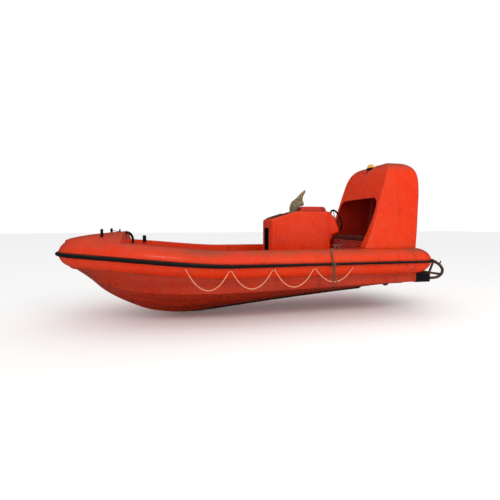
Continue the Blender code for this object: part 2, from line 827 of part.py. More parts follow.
def hood_rings(inset=0.0, foot=HOOD_BASE_Z):
    heights = (0.72, 1.10, 1.48, 1.74, 1.95, 2.05, 2.14, 2.20, 2.25, 2.28, ROOF_Z)
    rings = []
    for height in heights:
        share = min(max((height - 1.95) / (ROOF_Z - 1.95), 0.0), 1.0)
        rings.append(hood_ring(height, inset, inset * share))
    rings[0] = [Vector((p.x, p.y, HOOD_BASE_Z)) for p in rings[0]]
    if foot < HOOD_BASE_Z:
        rings.insert(0, [Vector((p.x, p.y, foot)) for p in rings[0]])
    return rings


def make_hood():
    shell = loft("hood_shell", hood_rings(), "orange_gelcoat")
    boolean(shell, loft("hood_room", hood_rings(HOOD_WALL, HOOD_BASE_Z - 0.3), None, CUTTERS))
    outline = DOORWAY + [(-y, z) for y, z in DOORWAY[-2::-1]]
    rings = [[Vector((x, y, z)) for y, z in outline] for x in (1.9, 2.62)]
    boolean(shell, loft("doorway", rings, None, CUTTERS))


def make_stern_seat():
    """Engine box with its hinged lid, the seat pad on the lid and the engine inside."""
    low = SOLE_Z + GAP
    engine_box = box("engine_box", (BOX_FRONT_X, -BOX_HALF_WIDTH, low),
                     (BOX_AFT_X, BOX_HALF_WIDTH, BOX_TOP_Z), "red_gelcoat")
    room = box("engine_box_room",
               (BOX_FRONT_X + BOX_WALL, -BOX_HALF_WIDTH + BOX_WALL, low - 0.1),
               (BOX_AFT_X - BOX_WALL, BOX_HALF_WIDTH - BOX_WALL, BOX_TOP_Z + 0.1),
               None, CUTTERS)
    boolean(engine_box, room)
    lid_low = BOX_TOP_Z + GAP
    lid_top = lid_low + LID_THICKNESS
    lid = box("engine_lid", (BOX_FRONT_X, -BOX_HALF_WIDTH, lid_low),
              (LID_HINGE.x, BOX_HALF_WIDTH, lid_top), "red_gelcoat")
    pad = box("seat_pad", (BOX_FRONT_X + 0.01, -BOX_HALF_WIDTH + 0.01, lid_top + GAP),
              (BOX_AFT_X - 0.06, BOX_HALF_WIDTH - 0.01, lid_top + GAP + PAD_THICKNESS),
              "seat_vinyl", bevel=0.02)
    put_origin(lid, LID_HINGE)
    put_origin(pad, LID_HINGE)
    box("engine_block", (BOX_FRONT_X + 0.05, -0.30, 0.0503), (BOX_AFT_X - 0.05, 0.30, 0.72),
        "grey_engine")


def make_hood_lamp():
    """Amber lamp on a black foot that fills the curve at the front of the roof."""
    foot = box("lamp_foot", (2.565, -0.09, 2.15), (2.655, 0.09, LAMP_SEAT_Z), "black_rubber")
    lens = box("lamp_lens", (2.565, -0.08, LAMP_SEAT_Z + GAP), (2.655, 0.08, 2.332),
               "amber_lens", bevel=0.015)
    hood_space = loft("hood_space", hood_rings(-GAP), None, CUTTERS)
    boolean(foot, hood_space)
    boolean(lens, hood_space)


# Fittings on the collar's crown and at the stern


def make_cleats():
    """Horn cleat on each side of the crown."""
    crown = FENDER_Z + COLLAR_HALF_HEIGHT
    for name, sign in (("cleat_port", -1), ("cleat_starboard", 1)):
        base = side_plate(name, [
            (1.42, crown + GAP), (1.58, crown + GAP), (1.56, crown + 0.03),
            (1.60, crown + 0.062), (1.585, crown + 0.075), (1.50, crown + 0.06),
            (1.415, crown + 0.075), (1.40, crown + 0.062), (1.44, crown + 0.03)],
            0.018, None)
        base.data.materials.append(material("stainless"))
        base.location.y = sign * 0.845


def make_transom_board():
    half = COLLAR_HALF_BEAM - COLLAR_WIDTH - GAP
    low = SOLE_Z + GAP
    high = HOOD_BASE_Z - 2 * GAP
    board = side_plate("transom_board", [(2.93, low), (TRANSOM_X, low), (TRANSOM_X, 0.64),
                                         (3.07, 0.68), (3.07, high), (2.93, high)], half, None)
    board.data.materials.append(material("orange_gelcoat"))


def make_jet():
    """Waterjet: fixed housing with its two lugs, steering nozzle and reversing bucket."""
    start = TRANSOM_X + GAP
    pivot = NOZZLE_PIVOT_X
    housing = cylinder("jet_housing", (start, 0, JET_Z), (JET_END_X, 0, JET_Z), 0.15,
                       "cast_alloy", end_radius=0.10, sides=28)
    for name, side in (("upper", 1), ("lower", -1)):
        near = JET_Z + side * 0.120
        far = JET_Z + side * 0.134
        lug = box("lug_" + name, (start + 0.06, -0.03, min(near, far)),
                  (pivot + 0.025, 0.03, max(near, far)), None, CUTTERS)
        boolean(housing, lug, "UNION")
        pin = cylinder("lug_pin_" + name, (pivot, 0, JET_Z + side * (NOZZLE_BOSS + GAP)),
                       (pivot, 0, JET_Z + side * 0.127), 0.014, None, sides=16,
                       collection=CUTTERS)
        boolean(housing, pin, "UNION")
        root = JET_Z + side * 0.095
        tip = near + side * 0.006
        web = box("lug_web_" + name, (start + 0.08, -0.012, min(root, tip)),
                  (start + 0.23, 0.012, max(root, tip)), None, CUTTERS)
        boolean(housing, web, "UNION")
    bore = cylinder("jet_bore", (start + 0.10, 0, JET_Z), (start + 0.5, 0, JET_Z), 0.08, None,
                    sides=24, collection=CUTTERS)
    boolean(housing, bore)
    nozzle = cylinder("jet_nozzle", (pivot - 0.05, 0, JET_Z), (pivot + 0.105, 0, JET_Z), 0.105,
                      "cast_alloy", end_radius=0.085, sides=24)
    upright = cylinder("nozzle_boss", (pivot, 0, JET_Z - NOZZLE_BOSS),
                       (pivot, 0, JET_Z + NOZZLE_BOSS), 0.02, None, sides=16,
                       collection=CUTTERS)
    boolean(nozzle, upright, "UNION")
    cheek = BUCKET_HALF_WIDTH - BUCKET_WALL - GAP
    trunnion = cylinder("nozzle_trunnion", (pivot, -cheek, JET_Z), (pivot, cheek, JET_Z), 0.014,
                        None, sides=16, collection=CUTTERS)
    boolean(nozzle, trunnion, "UNION")
    throat = cylinder("nozzle_throat", (pivot - 0.2, 0, JET_Z), (pivot + 0.3, 0, JET_Z), 0.07,
                      None, sides=24, collection=CUTTERS)
    boolean(nozzle, throat)
    put_origin(nozzle, (pivot, 0, JET_Z))
    bucket = bucket_sector("jet_bucket", BUCKET_RADIUS, BUCKET_HALF_WIDTH, 0.028, 0.0)
    bucket.data.materials.append(material("black_steel"))
    boolean(bucket, bucket_sector("bucket_room", BUCKET_RADIUS - 0.014,
                                  BUCKET_HALF_WIDTH - BUCKET_WALL, 0.06, 8.0, CUTTERS))
    put_origin(bucket, (pivot, 0, JET_Z))


def bucket_sector(name, radius, half_width, boss, extra, collection=None):
    """Sector about the bucket's pivot, raised clear of the outlet."""
    low = BUCKET_STOWED[0] - extra
    high = BUCKET_STOWED[1] + extra
    outline = []
    for step in range(9):
        angle = math.radians(low + (high - low) * step / 8)
        outline.append((NOZZLE_PIVOT_X + radius * math.cos(angle),
                        JET_Z + radius * math.sin(angle)))
    for step in range(7):
        angle = math.radians(high + 90 + (180 + low - high) * step / 6)
        outline.append((NOZZLE_PIVOT_X + boss * math.cos(angle),
                        JET_Z + boss * math.sin(angle)))
    return side_plate(name, outline, half_width, None, collection)


def make_stern_steps():
    for name, sign in (("stern_step_port", -1), ("stern_step_starboard", 1)):
        inner = 0.45 * sign
        outer = 0.93 * sign
        box(name, (TRANSOM_X + GAP, min(inner, outer), 0.10),
            (3.31, max(inner, outer), 0.258), "black_rubber", bevel=0.012)


def make_stern_guard():
    """Tube hoops each side of the jet, joined by two cross bars."""
    path = [(TRANSOM_X + GAP, 0.50), (3.20, 0.50), (3.36, 0.497), (3.48, 0.475), (3.59, 0.425),
            (3.68, 0.36), (3.725, 0.29), (3.715, 0.225), (3.66, 0.168), (3.57, 0.142),
            (3.45, 0.138), (3.31 + GAP, 0.138)]
    radius = 0.024
    beam = 0.74
    for name, sign in (("guard_hoop_port", -1), ("guard_hoop_starboard", 1)):
        tube(name, [(x, sign * beam, z) for x, z in path], radius, "black_steel")
    half = beam - radius - GAP
    for name, x, z in (("guard_bar_upper", 3.59, 0.425), ("guard_bar_lower", 3.69, 0.195)):
        cylinder(name, (x, -half, z), (x, half, z), 0.020, "black_steel", sides=16)


# Ropes


def collar_skin(x):
    """Half-breadth of the fender line on the flat facets between the collar's frames."""
    if x >= PARALLEL_X:
        return COLLAR_HALF_BEAM
    starboard = [outer for outer, _, _, _ in bow_frames()][-11:]
    for first, second in zip(starboard, starboard[1:]):
        if x <= second.x:
            share = (x - first.x) / (second.x - first.x)
            return first.y + (second.y - first.y) * share
    return COLLAR_HALF_BEAM


def grab_line_points(sign):
    """Loops hanging from the beckets under the fender, just off the collar's skin."""
    points = []
    steps = 19
    for loop, sag in enumerate(GRAB_SAGS):
        for step in range(steps + (loop == len(GRAB_SAGS) - 1)):
            share = step / steps
            x = GRAB_START_X + GRAB_PITCH * (loop + share)
            drop = sag * (1 - (2 * share - 1) ** 2)
            z = GRAB_TOP_Z + fender_height(x) - FENDER_Z - drop
            y = collar_skin(x) - GRAB_FALL_BACK + GRAB_RADIUS + GAP
            points.append((x, sign * y, z))
    return points


def over_collar(x, degrees, radius):
    """Point on the port side at an angle round the collar's section, a rope's radius off it."""
    angle = math.radians(degrees)
    clear = radius + ROPE_REST
    middle = COLLAR_HALF_BEAM - COLLAR_ROUND
    return (x, -middle - (COLLAR_ROUND + clear) * math.cos(angle),
            FENDER_Z + (COLLAR_HALF_HEIGHT + clear) * math.sin(angle))


def mooring_route():
    """From the port cleat over the crown and the fender, then straight down."""
    crown = [(1.385, 96), (1.36, 84), (1.335, 72), (1.315, 60), (1.30, 48), (1.29, 37)]
    points = [over_collar(x, degrees, MOORING_RADIUS) for x, degrees in crown]
    hang = -COLLAR_HALF_BEAM - FENDER_DEPTH - MOORING_RADIUS - 2 * GAP
    points += [(1.283, -1.135, 0.592), (1.277, -1.167, 0.548), (1.272, hang, 0.500)]
    points += [(1.270, hang - 0.002, 0.445), (1.271, hang, 0.38), (1.273, hang, 0.31),
               (1.275, hang, 0.24), (1.274, hang, 0.17), (1.272, hang, 0.10)]
    return points


def tail_route():
    """Short end that hangs from the knot beside the rope."""
    hang = -COLLAR_HALF_BEAM - FENDER_DEPTH - TAIL_RADIUS - 2 * GAP
    return [(1.294, hang, 0.500), (1.296, hang, 0.45), (1.301, hang, 0.39), (1.308, hang, 0.33),
            (1.318, hang, 0.27), (1.332, hang, 0.21), (1.345, hang, 0.16)]


def through(points, spacing):
    """Points of a smooth curve through the given ones, at a nearly even spacing."""
    vectors = [Vector(p) for p in points]
    padded = [2 * vectors[0] - vectors[1]] + vectors + [2 * vectors[-1] - vectors[-2]]
    result = [vectors[0]]
    for k in range(1, len(padded) - 2):
        a, b, c, d = padded[k - 1:k + 3]
        pieces = max(1, round((c - b).length / spacing))
        for step in range(1, pieces + 1):
            t = step / pieces
            result.append(0.5 * ((2 * b) + (c - a) * t + (2 * a - 5 * b + 4 * c - d) * t**2
                                 + (3 * b - 3 * c + d - a) * t**3))
    return result


def make_ropes():
    for name, sign in (("grab_line_port", -1), ("grab_line_starboard", 1)):
        tube(name, grab_line_points(sign), GRAB_RADIUS, "orange_rope", resolution=2)
    tube("mooring_rope", through(mooring_route(), 0.045), MOORING_RADIUS, "olive_rope",
         resolution=2)
    tube("mooring_tail", through(tail_route(), 0.045), TAIL_RADIUS, "olive_rope", resolution=2)


make_collar()
make_fender()
make_hull()
make_skeg()
make_foredeck()
make_deck_fittings()
make_console()
make_steering()
make_cover()
make_hood()
make_stern_seat()
make_hood_lamp()
make_cleats()
make_transom_board()
make_jet()
make_stern_steps()
make_stern_guard()
make_ropes()
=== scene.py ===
"""Finished look of the open rescue boat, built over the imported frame."""

import json
from math import atan, copysign, cos, exp, pi, radians, sin, sqrt, tan, tau

import bmesh
import bpy
from mathutils import Matrix, Vector

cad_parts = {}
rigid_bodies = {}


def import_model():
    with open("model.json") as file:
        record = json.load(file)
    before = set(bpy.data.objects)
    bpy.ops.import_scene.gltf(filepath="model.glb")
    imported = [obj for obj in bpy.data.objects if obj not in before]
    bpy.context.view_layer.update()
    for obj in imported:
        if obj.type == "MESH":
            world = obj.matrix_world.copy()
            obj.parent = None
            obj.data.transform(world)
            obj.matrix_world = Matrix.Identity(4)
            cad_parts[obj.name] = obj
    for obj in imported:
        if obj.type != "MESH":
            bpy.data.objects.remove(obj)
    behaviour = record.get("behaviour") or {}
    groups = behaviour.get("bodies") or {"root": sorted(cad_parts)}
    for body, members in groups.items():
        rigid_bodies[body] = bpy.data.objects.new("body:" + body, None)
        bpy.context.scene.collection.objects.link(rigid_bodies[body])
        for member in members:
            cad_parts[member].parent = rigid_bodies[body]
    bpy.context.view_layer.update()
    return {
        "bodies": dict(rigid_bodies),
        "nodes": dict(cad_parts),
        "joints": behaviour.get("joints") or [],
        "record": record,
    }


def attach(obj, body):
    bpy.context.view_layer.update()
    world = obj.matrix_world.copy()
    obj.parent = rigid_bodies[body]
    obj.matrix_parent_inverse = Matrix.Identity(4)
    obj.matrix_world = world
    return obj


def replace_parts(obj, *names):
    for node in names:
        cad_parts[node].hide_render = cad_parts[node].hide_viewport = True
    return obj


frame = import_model()
NODES = frame["nodes"]

# Sizes shared with the boat's source
NOSE_X = -3.11
PARALLEL_X = -0.60
WELL_NOSE_X = -2.75
COLLAR_END_X = 2.97
COLLAR_CAP = 0.32
HALF_BEAM = 1.12
COLLAR_WIDTH = 0.32
COLLAR_ROUND = 0.22
COLLAR_HALF = 0.225
FENDER_Z = 0.495
BOW_RISE = 0.172
BOW_RISE_X = -0.30
TRANSOM_X = 2.99
SOLE_Z = 0.30
BULKHEAD_X = -2.05
PORT, STARBOARD = SIDES = (-1, 1)
HAIRLINE = 0.0003
POST_X, POST_Y = -2.36, 0.46
TOW_POST_X = -1.747
LID_Z = 0.8003
JET_Z = 0.06
NOZZLE_PIVOT_X = 3.36


# Camera and stage


def put(name, data):
    """Object of its own name in the scene."""
    item = bpy.data.objects.new(name, data)
    bpy.context.scene.collection.objects.link(item)
    return item


def make_camera():
    """Camera at the photograph's place, level from side to side."""
    lens = bpy.data.cameras.new("camera")
    lens.sensor_width = 36.0
    lens.lens = 25.2
    eye = put("camera", lens)
    eye.location = (-1.268, -6.393, 1.15)
    pitch = radians(-4.25)
    look = Vector((0.2164 * cos(pitch), 0.9763 * cos(pitch), sin(pitch)))
    eye.rotation_euler = look.to_track_quat("-Z", "Y").to_euler()
    bpy.context.scene.camera = eye


def soft_light(name, place, target, size, watts, colour, mirrored):
    lamp = bpy.data.lights.new(name, "AREA")
    lamp.shape = "RECTANGLE"
    lamp.size, lamp.size_y = size
    lamp.energy = watts
    lamp.color = colour
    item = put(name, lamp)
    item.visible_glossy = mirrored
    item.location = place
    item.rotation_euler = (Vector(target) - Vector(place)).to_track_quat("-Z", "Y").to_euler()


def make_stage():
    """Pale floor just under the keel, a white studio that mirrors dimly, and soft light."""
    reach, low = 60.0, -0.455
    mesh = bpy.data.meshes.new("floor")
    mesh.from_pydata([(x, y, low) for x, y in ((-reach, -reach), (reach, -reach), (reach, reach),
        (-reach, reach))], [], [(0, 1, 2, 3)])
    paint = bpy.data.materials.new("pale_floor")
    paint.use_nodes = True
    tree = paint.node_tree
    glossy = node(tree, "ShaderNodeLightPath")["Is Glossy Ray"]
    shader = tree.nodes["Principled BSDF"]
    feed(tree, shader.inputs["Base Color"], mix_colour(tree, glossy, (0.94,) * 3, (0.06,) * 3))
    shader.inputs["Roughness"].default_value = 0.9
    mesh.materials.append(paint)
    put("floor", mesh)
    world = bpy.data.worlds.new("studio")
    bpy.context.scene.world = world
    bpy.context.scene.view_settings.view_transform = "Standard"
    world.use_nodes = True
    tree = world.node_tree
    sky = tree.nodes["Background"]
    sky.inputs["Color"].default_value = (1, 1, 1, 1)
    glossy = node(tree, "ShaderNodeLightPath")["Is Glossy Ray"]
    height = split(tree, node(tree, "ShaderNodeTexCoord")["Generated"])[2]
    mirrored = times(tree, span(tree, height, 0.3, 0.95, 0.04, 0.2), glossy)
    shown = sums(tree, "SUBTRACT", 1, glossy)
    feed(tree, sky.inputs["Strength"], sums(tree, "ADD", mirrored, shown))
    warm = (1, 0.96, 0.9)
    soft_light("key", (2.6, -7, 6), (1.4, 0, 0.8), (4, 3), 175, warm, False)
    soft_light("fill", (5, -7, 2.5), (1, 0, 0.8), (3, 3), 50, (1, 0.97, 0.93), False)
    soft_light("glint", (-3, -7, 6), (0.6, 0, 0.8), (2.5, 1.5), 35, warm, True)


# Node makers

SOCKET_KINDS = {float: "NodeSocketFloat", int: "NodeSocketInt", tuple: "NodeSocketVector"}


def feed(tree, socket, value):
    """Link a socket, or set its constant."""
    if isinstance(value, bpy.types.NodeSocket):
        tree.links.new(value, socket)
    elif isinstance(value, tuple) and len(value) == 3 and socket.type == "RGBA":
        socket.default_value = (*value, 1)
    else:
        socket.default_value = value


def node(tree, kind, inputs=None, **settings):
    """New node with its settings and inputs; gives its outputs."""
    made = tree.nodes.new(kind)
    for name, value in settings.items():
        setattr(made, name, value)
    for key, value in (inputs or {}).items():
        feed(tree, made.inputs[key], value)
    return made.outputs


def tree_with(kind, name, inputs, results):
    """Empty node tree with named sockets; gives it and what its inputs hold."""
    tree = bpy.data.node_groups.new(name, kind)
    for label, value in inputs.items():
        made = tree.interface.new_socket(label, in_out="INPUT",
            socket_type=SOCKET_KINDS.get(type(value), value))
        if type(value) in SOCKET_KINDS:
            made.default_value = value
    for label, socket_kind in results.items():
        tree.interface.new_socket(label, in_out="OUTPUT", socket_type=socket_kind)
    return tree, node(tree, "NodeGroupInput")


def mix_colour(tree, factor, first, second):
    return node(tree, "ShaderNodeMix", {0: factor, 6: first, 7: second}, data_type="RGBA")[2]


def sums(tree, operation, first, second=0.0, clamp=False):
    return node(tree, "ShaderNodeMath", {0: first, 1: second}, operation=operation,
                use_clamp=clamp)[0]


def times(tree, first, second):
    return sums(tree, "MULTIPLY", first, second)


def ridges(tree, phase):
    """Rounded ridges along a running value."""
    return sums(tree, "ABSOLUTE", sums(tree, "SINE", phase))


def split(tree, vector):
    return node(tree, "ShaderNodeSeparateXYZ", {0: vector})


def span(tree, value, low, high, to_low=0.0, to_high=1.0):
    return node(tree, "ShaderNodeMapRange", {0: value, 1: low, 2: high, 3: to_low, 4: to_high},
                interpolation_type="SMOOTHSTEP")[0]


def object_place(tree):
    return node(tree, "ShaderNodeTexCoord")["Object"]


def noise(tree, scale, detail=3.0, stretch=(1, 1, 1), roughness=0.55):
    """Noise on Object coordinates, stretched along chosen axes."""
    place = object_place(tree)
    if stretch != (1, 1, 1):
        place = node(tree, "ShaderNodeMapping", {"Vector": place, "Scale": stretch})["Vector"]
    return node(tree, "ShaderNodeTexNoise", {"Vector": place, "Scale": scale, "Detail": detail,
        "Roughness": roughness})["Fac"]


def uneven(tree, scale, detail, low, high, stretch=(1, 1, 1)):
    """Value that wanders between two others."""
    return span(tree, noise(tree, scale, detail, stretch), 0.3, 0.7, low, high)


def bump(tree, height, strength, distance, normal=None):
    inputs = {"Strength": strength, "Distance": distance, "Height": height}
    if normal:
        inputs["Normal"] = normal
    return node(tree, "ShaderNodeBump", inputs)["Normal"]


# Effects that several finishes share


def weather_group():
    """Dirt runs, dust with painted shade on upward faces and faded patches, as masks."""
    names = ("Run Mask", "Top Grime And Shade Mask", "Fade Mask", "Scuffs")
    tree, given = tree_with("ShaderNodeTree", "weathering", {"Runs": 0.5, "Top Grime And Shade": 0.5,
        "Fade": 0.5}, {name: "NodeSocketFloat" for name in names})
    runs = span(tree, noise(tree, 9, 4, (1, 1, 0.1)), 0.52, 0.72)
    runs = times(tree, runs, span(tree, noise(tree, 2.3, 2), 0.35, 0.65))
    up = split(tree, node(tree, "ShaderNodeNewGeometry")["Normal"])[2]
    # Upward faces: dust, and painted shade that darkens the tops.
    top_grime_and_shade = times(tree, span(tree, up, 0.35, 0.95), span(tree, noise(tree, 1.6, 3), 0.15, 0.8))
    fade = span(tree, noise(tree, 0.9, 3), 0.36, 0.68)
    lines = span(tree, noise(tree, 30, 3, (0.16, 1, 1.5)), 0.66, 0.74)
    where = span(tree, noise(tree, 1.7, 2), 0.52, 0.66)
    node(tree, "NodeGroupOutput", dict(zip(names, (
        times(tree, runs, given["Runs"]), times(tree, top_grime_and_shade, given["Top Grime And Shade"]),
        times(tree, fade, given["Fade"]), times(tree, lines, where)))))
    return tree


def weave_group():
    """Plain weave on a UV map, as a height."""
    tree, given = tree_with("ShaderNodeTree", "plain_weave", {"UV": (0, 0, 0), "Threads": 300.0},
        {"Height": "NodeSocketFloat"})
    uv = split(tree, given["UV"])
    waves = [ridges(tree, times(tree, uv[axis], given["Threads"])) for axis in (0, 1)]
    node(tree, "NodeGroupOutput", {"Height": times(tree, *waves)})
    return tree


WEATHER = weather_group()
WEAVE = weave_group()


def weather(tree, runs, top_grime_and_shade, fade):
    return node(tree, "ShaderNodeGroup", {"Runs": runs, "Top Grime And Shade": top_grime_and_shade, "Fade": fade},
                node_tree=WEATHER)


# Materials


def new_material(name):
    made = bpy.data.materials.new(name)
    made.use_nodes = True
    return made, made.node_tree


def finished(made, tone, rough, normal, plain=None):
    """Join a material's maps to its shader and set its plain values."""
    shader = made.node_tree.nodes["Principled BSDF"]
    maps = {"Base Color": tone, "Roughness": rough, "Normal": normal, **(plain or {})}
    for name, value in maps.items():
        feed(made.node_tree, shader.inputs[name], value)
    return made


def gelcoat(name, colour, faded, deep, roughness=0.24, runs=0.5, top_grime_and_shade=0.4, fade=0.6,
            hull_bands=False):
    """Glossy pigmented gelcoat with faded patches, dirt runs, fine scuffs, and dust with painted
    shade on its upward faces.
    """
    made, tree = new_material(name)
    masks = weather(tree, runs, top_grime_and_shade, fade)
    tone = mix_colour(tree, masks["Fade Mask"], colour, faded)
    if hull_bands:
        bands = span(tree, noise(tree, 4, 2, (0.1, 0.3, 2.4)), 0.35, 0.7, 0, 0.35)
        tone = mix_colour(tree, bands, tone, deep)
    tone = mix_colour(tree, masks["Run Mask"], tone, deep)
    # Dust and painted shade: upward faces turn a darker brown.
    tone = mix_colour(tree, masks["Top Grime And Shade Mask"], tone, (0.25, 0.044, 0.012))
    tone = mix_colour(tree, times(tree, masks["Scuffs"], 0.4), tone, (0.6, 0.085, 0.022))
    rough = uneven(tree, 6, 4, roughness * 0.75, roughness * 1.35)
    rough = sums(tree, "ADD", rough, times(tree, masks["Top Grime And Shade Mask"], 0.35))
    rough = sums(tree, "ADD", rough, times(tree, masks["Scuffs"], 0.3), True)
    ripple = bump(tree, noise(tree, 5.5, 1), 0.1, 0.02)
    peel = bump(tree, noise(tree, 260, 1), 0.04, 0.0006, ripple)
    return finished(made, tone, rough, peel, {"Coat Weight": 0.22, "Coat Roughness": 0.12})


def rubber(name, colour=(0.006, 0.005, 0.005), roughness=0.6, top_grime_and_shade=0.35):
    made, tree = new_material(name)
    masks = weather(tree, 0, top_grime_and_shade, 0)
    tone = mix_colour(tree, masks["Top Grime And Shade Mask"], colour, (0.07, 0.045, 0.035))
    tone = mix_colour(tree, masks["Scuffs"], tone, (0.035, 0.028, 0.026))
    return finished(made, tone, uneven(tree, 14, 4, roughness - 0.12, roughness + 0.15),
                    bump(tree, noise(tree, 420, 2), 0.25, 0.0006))


def coated_steel(name, colour=(0.008, 0.007, 0.007), worn=(0.17, 0.08, 0.04)):
    """Black coated tube with chips that show rust."""
    made, tree = new_material(name)
    chips = times(tree, span(tree, noise(tree, 38, 5), 0.6, 0.66),
                  span(tree, noise(tree, 6, 2), 0.45, 0.62))
    return finished(made, mix_colour(tree, chips, colour, worn), uneven(tree, 20, 3, 0.3, 0.55),
        bump(tree, noise(tree, 150, 2), 0.12, 0.0008), {"Metallic": 0.3})


def bare_metal(name, colour, roughness):
    """Weathered bare metal with a brushed grain and tea-coloured stains."""
    made, tree = new_material(name)
    brushed = (1, 1, 12)
    stains = span(tree, noise(tree, 16, 5), 0.5, 0.72, 0, 0.4)
    return finished(made, mix_colour(tree, stains, colour, (0.2, 0.13, 0.08)),
        uneven(tree, 60, 2, roughness - 0.08, roughness + 0.14, brushed),
        bump(tree, noise(tree, 120, 3, brushed), 0.1, 0.0008), {"Metallic": 1.0})


def cast_metal(name, colour, metallic=0.9):
    made, tree = new_material(name)
    salts = span(tree, noise(tree, 22, 5), 0.52, 0.7, 0, 0.6)
    return finished(made, mix_colour(tree, salts, colour, (0.42, 0.41, 0.38)),
        uneven(tree, 40, 3, 0.42, 0.7), bump(tree, noise(tree, 340, 3), 0.35, 0.0009),
        {"Metallic": metallic})


def laid_rope(name, colour, dark, twist):
    """Three-strand rope on the cord's own UV: U along the rope in metres, V round it."""
    made, tree = new_material(name)
    uv = split(tree, node(tree, "ShaderNodeUVMap", uv_map="rope_map")[0])
    along = times(tree, uv[0], twist)
    turn = times(tree, uv[1], 3)
    strand = ridges(tree, times(tree, sums(tree, "ADD", along, turn), pi))
    fibres = ridges(tree, times(tree, sums(tree, "SUBTRACT", along, turn), 9))
    grime = span(tree, noise(tree, 24, 4), 0.35, 0.7, 0, 0.55)
    # Painted shade: the grooves between the strands are coloured darker.
    tone = mix_colour(tree, span(tree, strand, 0, 0.6), dark, colour)
    fine = bump(tree, fibres, 0.35, 0.0006)
    return finished(made, mix_colour(tree, grime, tone, dark), 0.85,
                    bump(tree, strand, 0.9, 0.0022, fine), {"Sheen Weight": 0.25})


def canvas(name):
    """Olive canvas with mould spots, rust-orange stains and a plain weave."""
    made, tree = new_material(name)
    uv = node(tree, "ShaderNodeUVMap", uv_map="cloth_map")[0]
    weave = node(tree, "ShaderNodeGroup", {"UV": uv, "Threads": 2600.0}, node_tree=WEAVE)
    blotch = span(tree, noise(tree, 26, 5, roughness=0.7), 0.4, 0.62)
    pale = span(tree, noise(tree, 60, 4, roughness=0.7), 0.55, 0.66)
    height = split(tree, object_place(tree))[2]
    streak = times(tree, span(tree, noise(tree, 10, 3, (1, 1.6, 0.35)), 0.46, 0.58),
                   span(tree, height, 1.51, 1.61))
    tone = mix_colour(tree, blotch, (0.06, 0.048, 0.02), (0.215, 0.165, 0.08))
    for mask, stain in ((times(tree, pale, 0.6), (0.44, 0.36, 0.25)), (streak, (0.66, 0.27, 0.07)),
                        (span(tree, height, 1.755, 1.775), (0.06, 0.055, 0.05))):
        tone = mix_colour(tree, mask, tone, stain)
    thread = bump(tree, weave["Height"], 0.35, 0.0006)
    return finished(made, tone, 0.88, bump(tree, noise(tree, 90, 4), 0.25, 0.003, thread),
                    {"Sheen Weight": 0.2})


def upholstery(name):
    """Dark red grained seat cover with rubbed, paler high spots."""
    made, tree = new_material(name)
    grain = node(tree, "ShaderNodeTexVoronoi", {"Vector": object_place(tree), "Scale": 420.0},
                 feature="DISTANCE_TO_EDGE")["Distance"]
    rubbed = span(tree, noise(tree, 7, 4), 0.45, 0.75, 0, 0.6)
    return finished(made, mix_colour(tree, rubbed, (0.115, 0.012, 0.01), (0.2, 0.035, 0.025)),
                    uneven(tree, 12, 3, 0.4, 0.62), bump(tree, grain, 0.3, 0.0008))


def nonskid(name):
    """Moulded non-skid panel: rows of small diamonds with painted shade between them."""
    made, tree = new_material(name)
    place = split(tree, object_place(tree))
    waves = [ridges(tree, times(tree, sums(tree, operation, place[0], place[1]), 210))
             for operation in ("ADD", "SUBTRACT")]
    diamonds = span(tree, times(tree, *waves), 0.15, 0.55)
    # Painted shade: the gaps between the diamonds are a darker red.
    tone = mix_colour(tree, diamonds, (0.16, 0.022, 0.014), (0.46, 0.045, 0.02))
    tone = mix_colour(tree, weather(tree, 0, 0.9, 0.5)["Top Grime And Shade Mask"], tone, (0.3, 0.2, 0.14))
    return finished(made, tone, uneven(tree, 14, 3, 0.5, 0.72), bump(tree, diamonds, 0.7, 0.0015))


def clear_plastic(name, colour):
    made, tree = new_material(name)
    cloudy = span(tree, noise(tree, 30, 4), 0.4, 0.7, 0, 0.5)
    return finished(made, mix_colour(tree, cloudy, colour, (0.82, 0.62, 0.3)),
        uneven(tree, 40, 3, 0.12, 0.35), bump(tree, noise(tree, 200, 2), 0.05, 0.0008),
        {"Coat Weight": 0.5})


ORANGE = gelcoat("orange_gelcoat_skin", (0.7, 0.028, 0.0006), (0.72, 0.042, 0.002),
                 (0.36, 0.012, 0.002), top_grime_and_shade=0.85)
HULL_RED = gelcoat("hull_gelcoat_skin", (0.46, 0.022, 0.0012), (0.48, 0.032, 0.003),
                   (0.25, 0.009, 0.001), 0.3, 0.75, 0.3, 0.7, True)
WELL_RED = gelcoat("well_gelcoat_skin", (0.44, 0.02, 0.008), (0.46, 0.04, 0.02),
                   (0.2, 0.009, 0.004), 0.42, 0.6, 0.6, 0.6)
DARK_RED = gelcoat("liner_gelcoat_skin", (0.5, 0.016, 0.003), (0.53, 0.026, 0.007),
                   (0.1, 0.005, 0.003), 0.4, 0.6, 0.5, 0.5)
RUBBER = rubber("strake_rubber")
GRIP = rubber("grip_rubber", (0.006, 0.005, 0.005), 0.48, 0.15)
SHOE = rubber("keel_shoe", (0.016, 0.011, 0.009), 0.7, 0.2)
STEEL = coated_steel("black_coated_steel")
RUSTY = coated_steel("rusted_guard_steel", (0.085, 0.05, 0.034), (0.24, 0.11, 0.05))
STAINLESS = bare_metal("weathered_stainless", (0.6, 0.59, 0.57), 0.3)
ALLOY = cast_metal("salted_alloy", (0.3, 0.31, 0.32))
ENGINE = cast_metal("engine_paint", (0.2, 0.23, 0.24), 0.1)
GRAB_ROPE = laid_rope("grab_rope_lay", (0.88, 0.42, 0.22), (0.55, 0.16, 0.07), 40)
MOORING_ROPE = laid_rope("mooring_rope_lay", (0.085, 0.066, 0.026), (0.022, 0.016, 0.008), 26)
CANVAS = canvas("olive_canvas_cloth")
SEAT = upholstery("seat_cover_grain")
AMBER = clear_plastic("amber_lens_plastic", (0.92, 0.42, 0.05))
NONSKID = nonskid("nonskid_tread")


# Mesh makers


def clamped(value):
    return min(max(value, 0), 1)


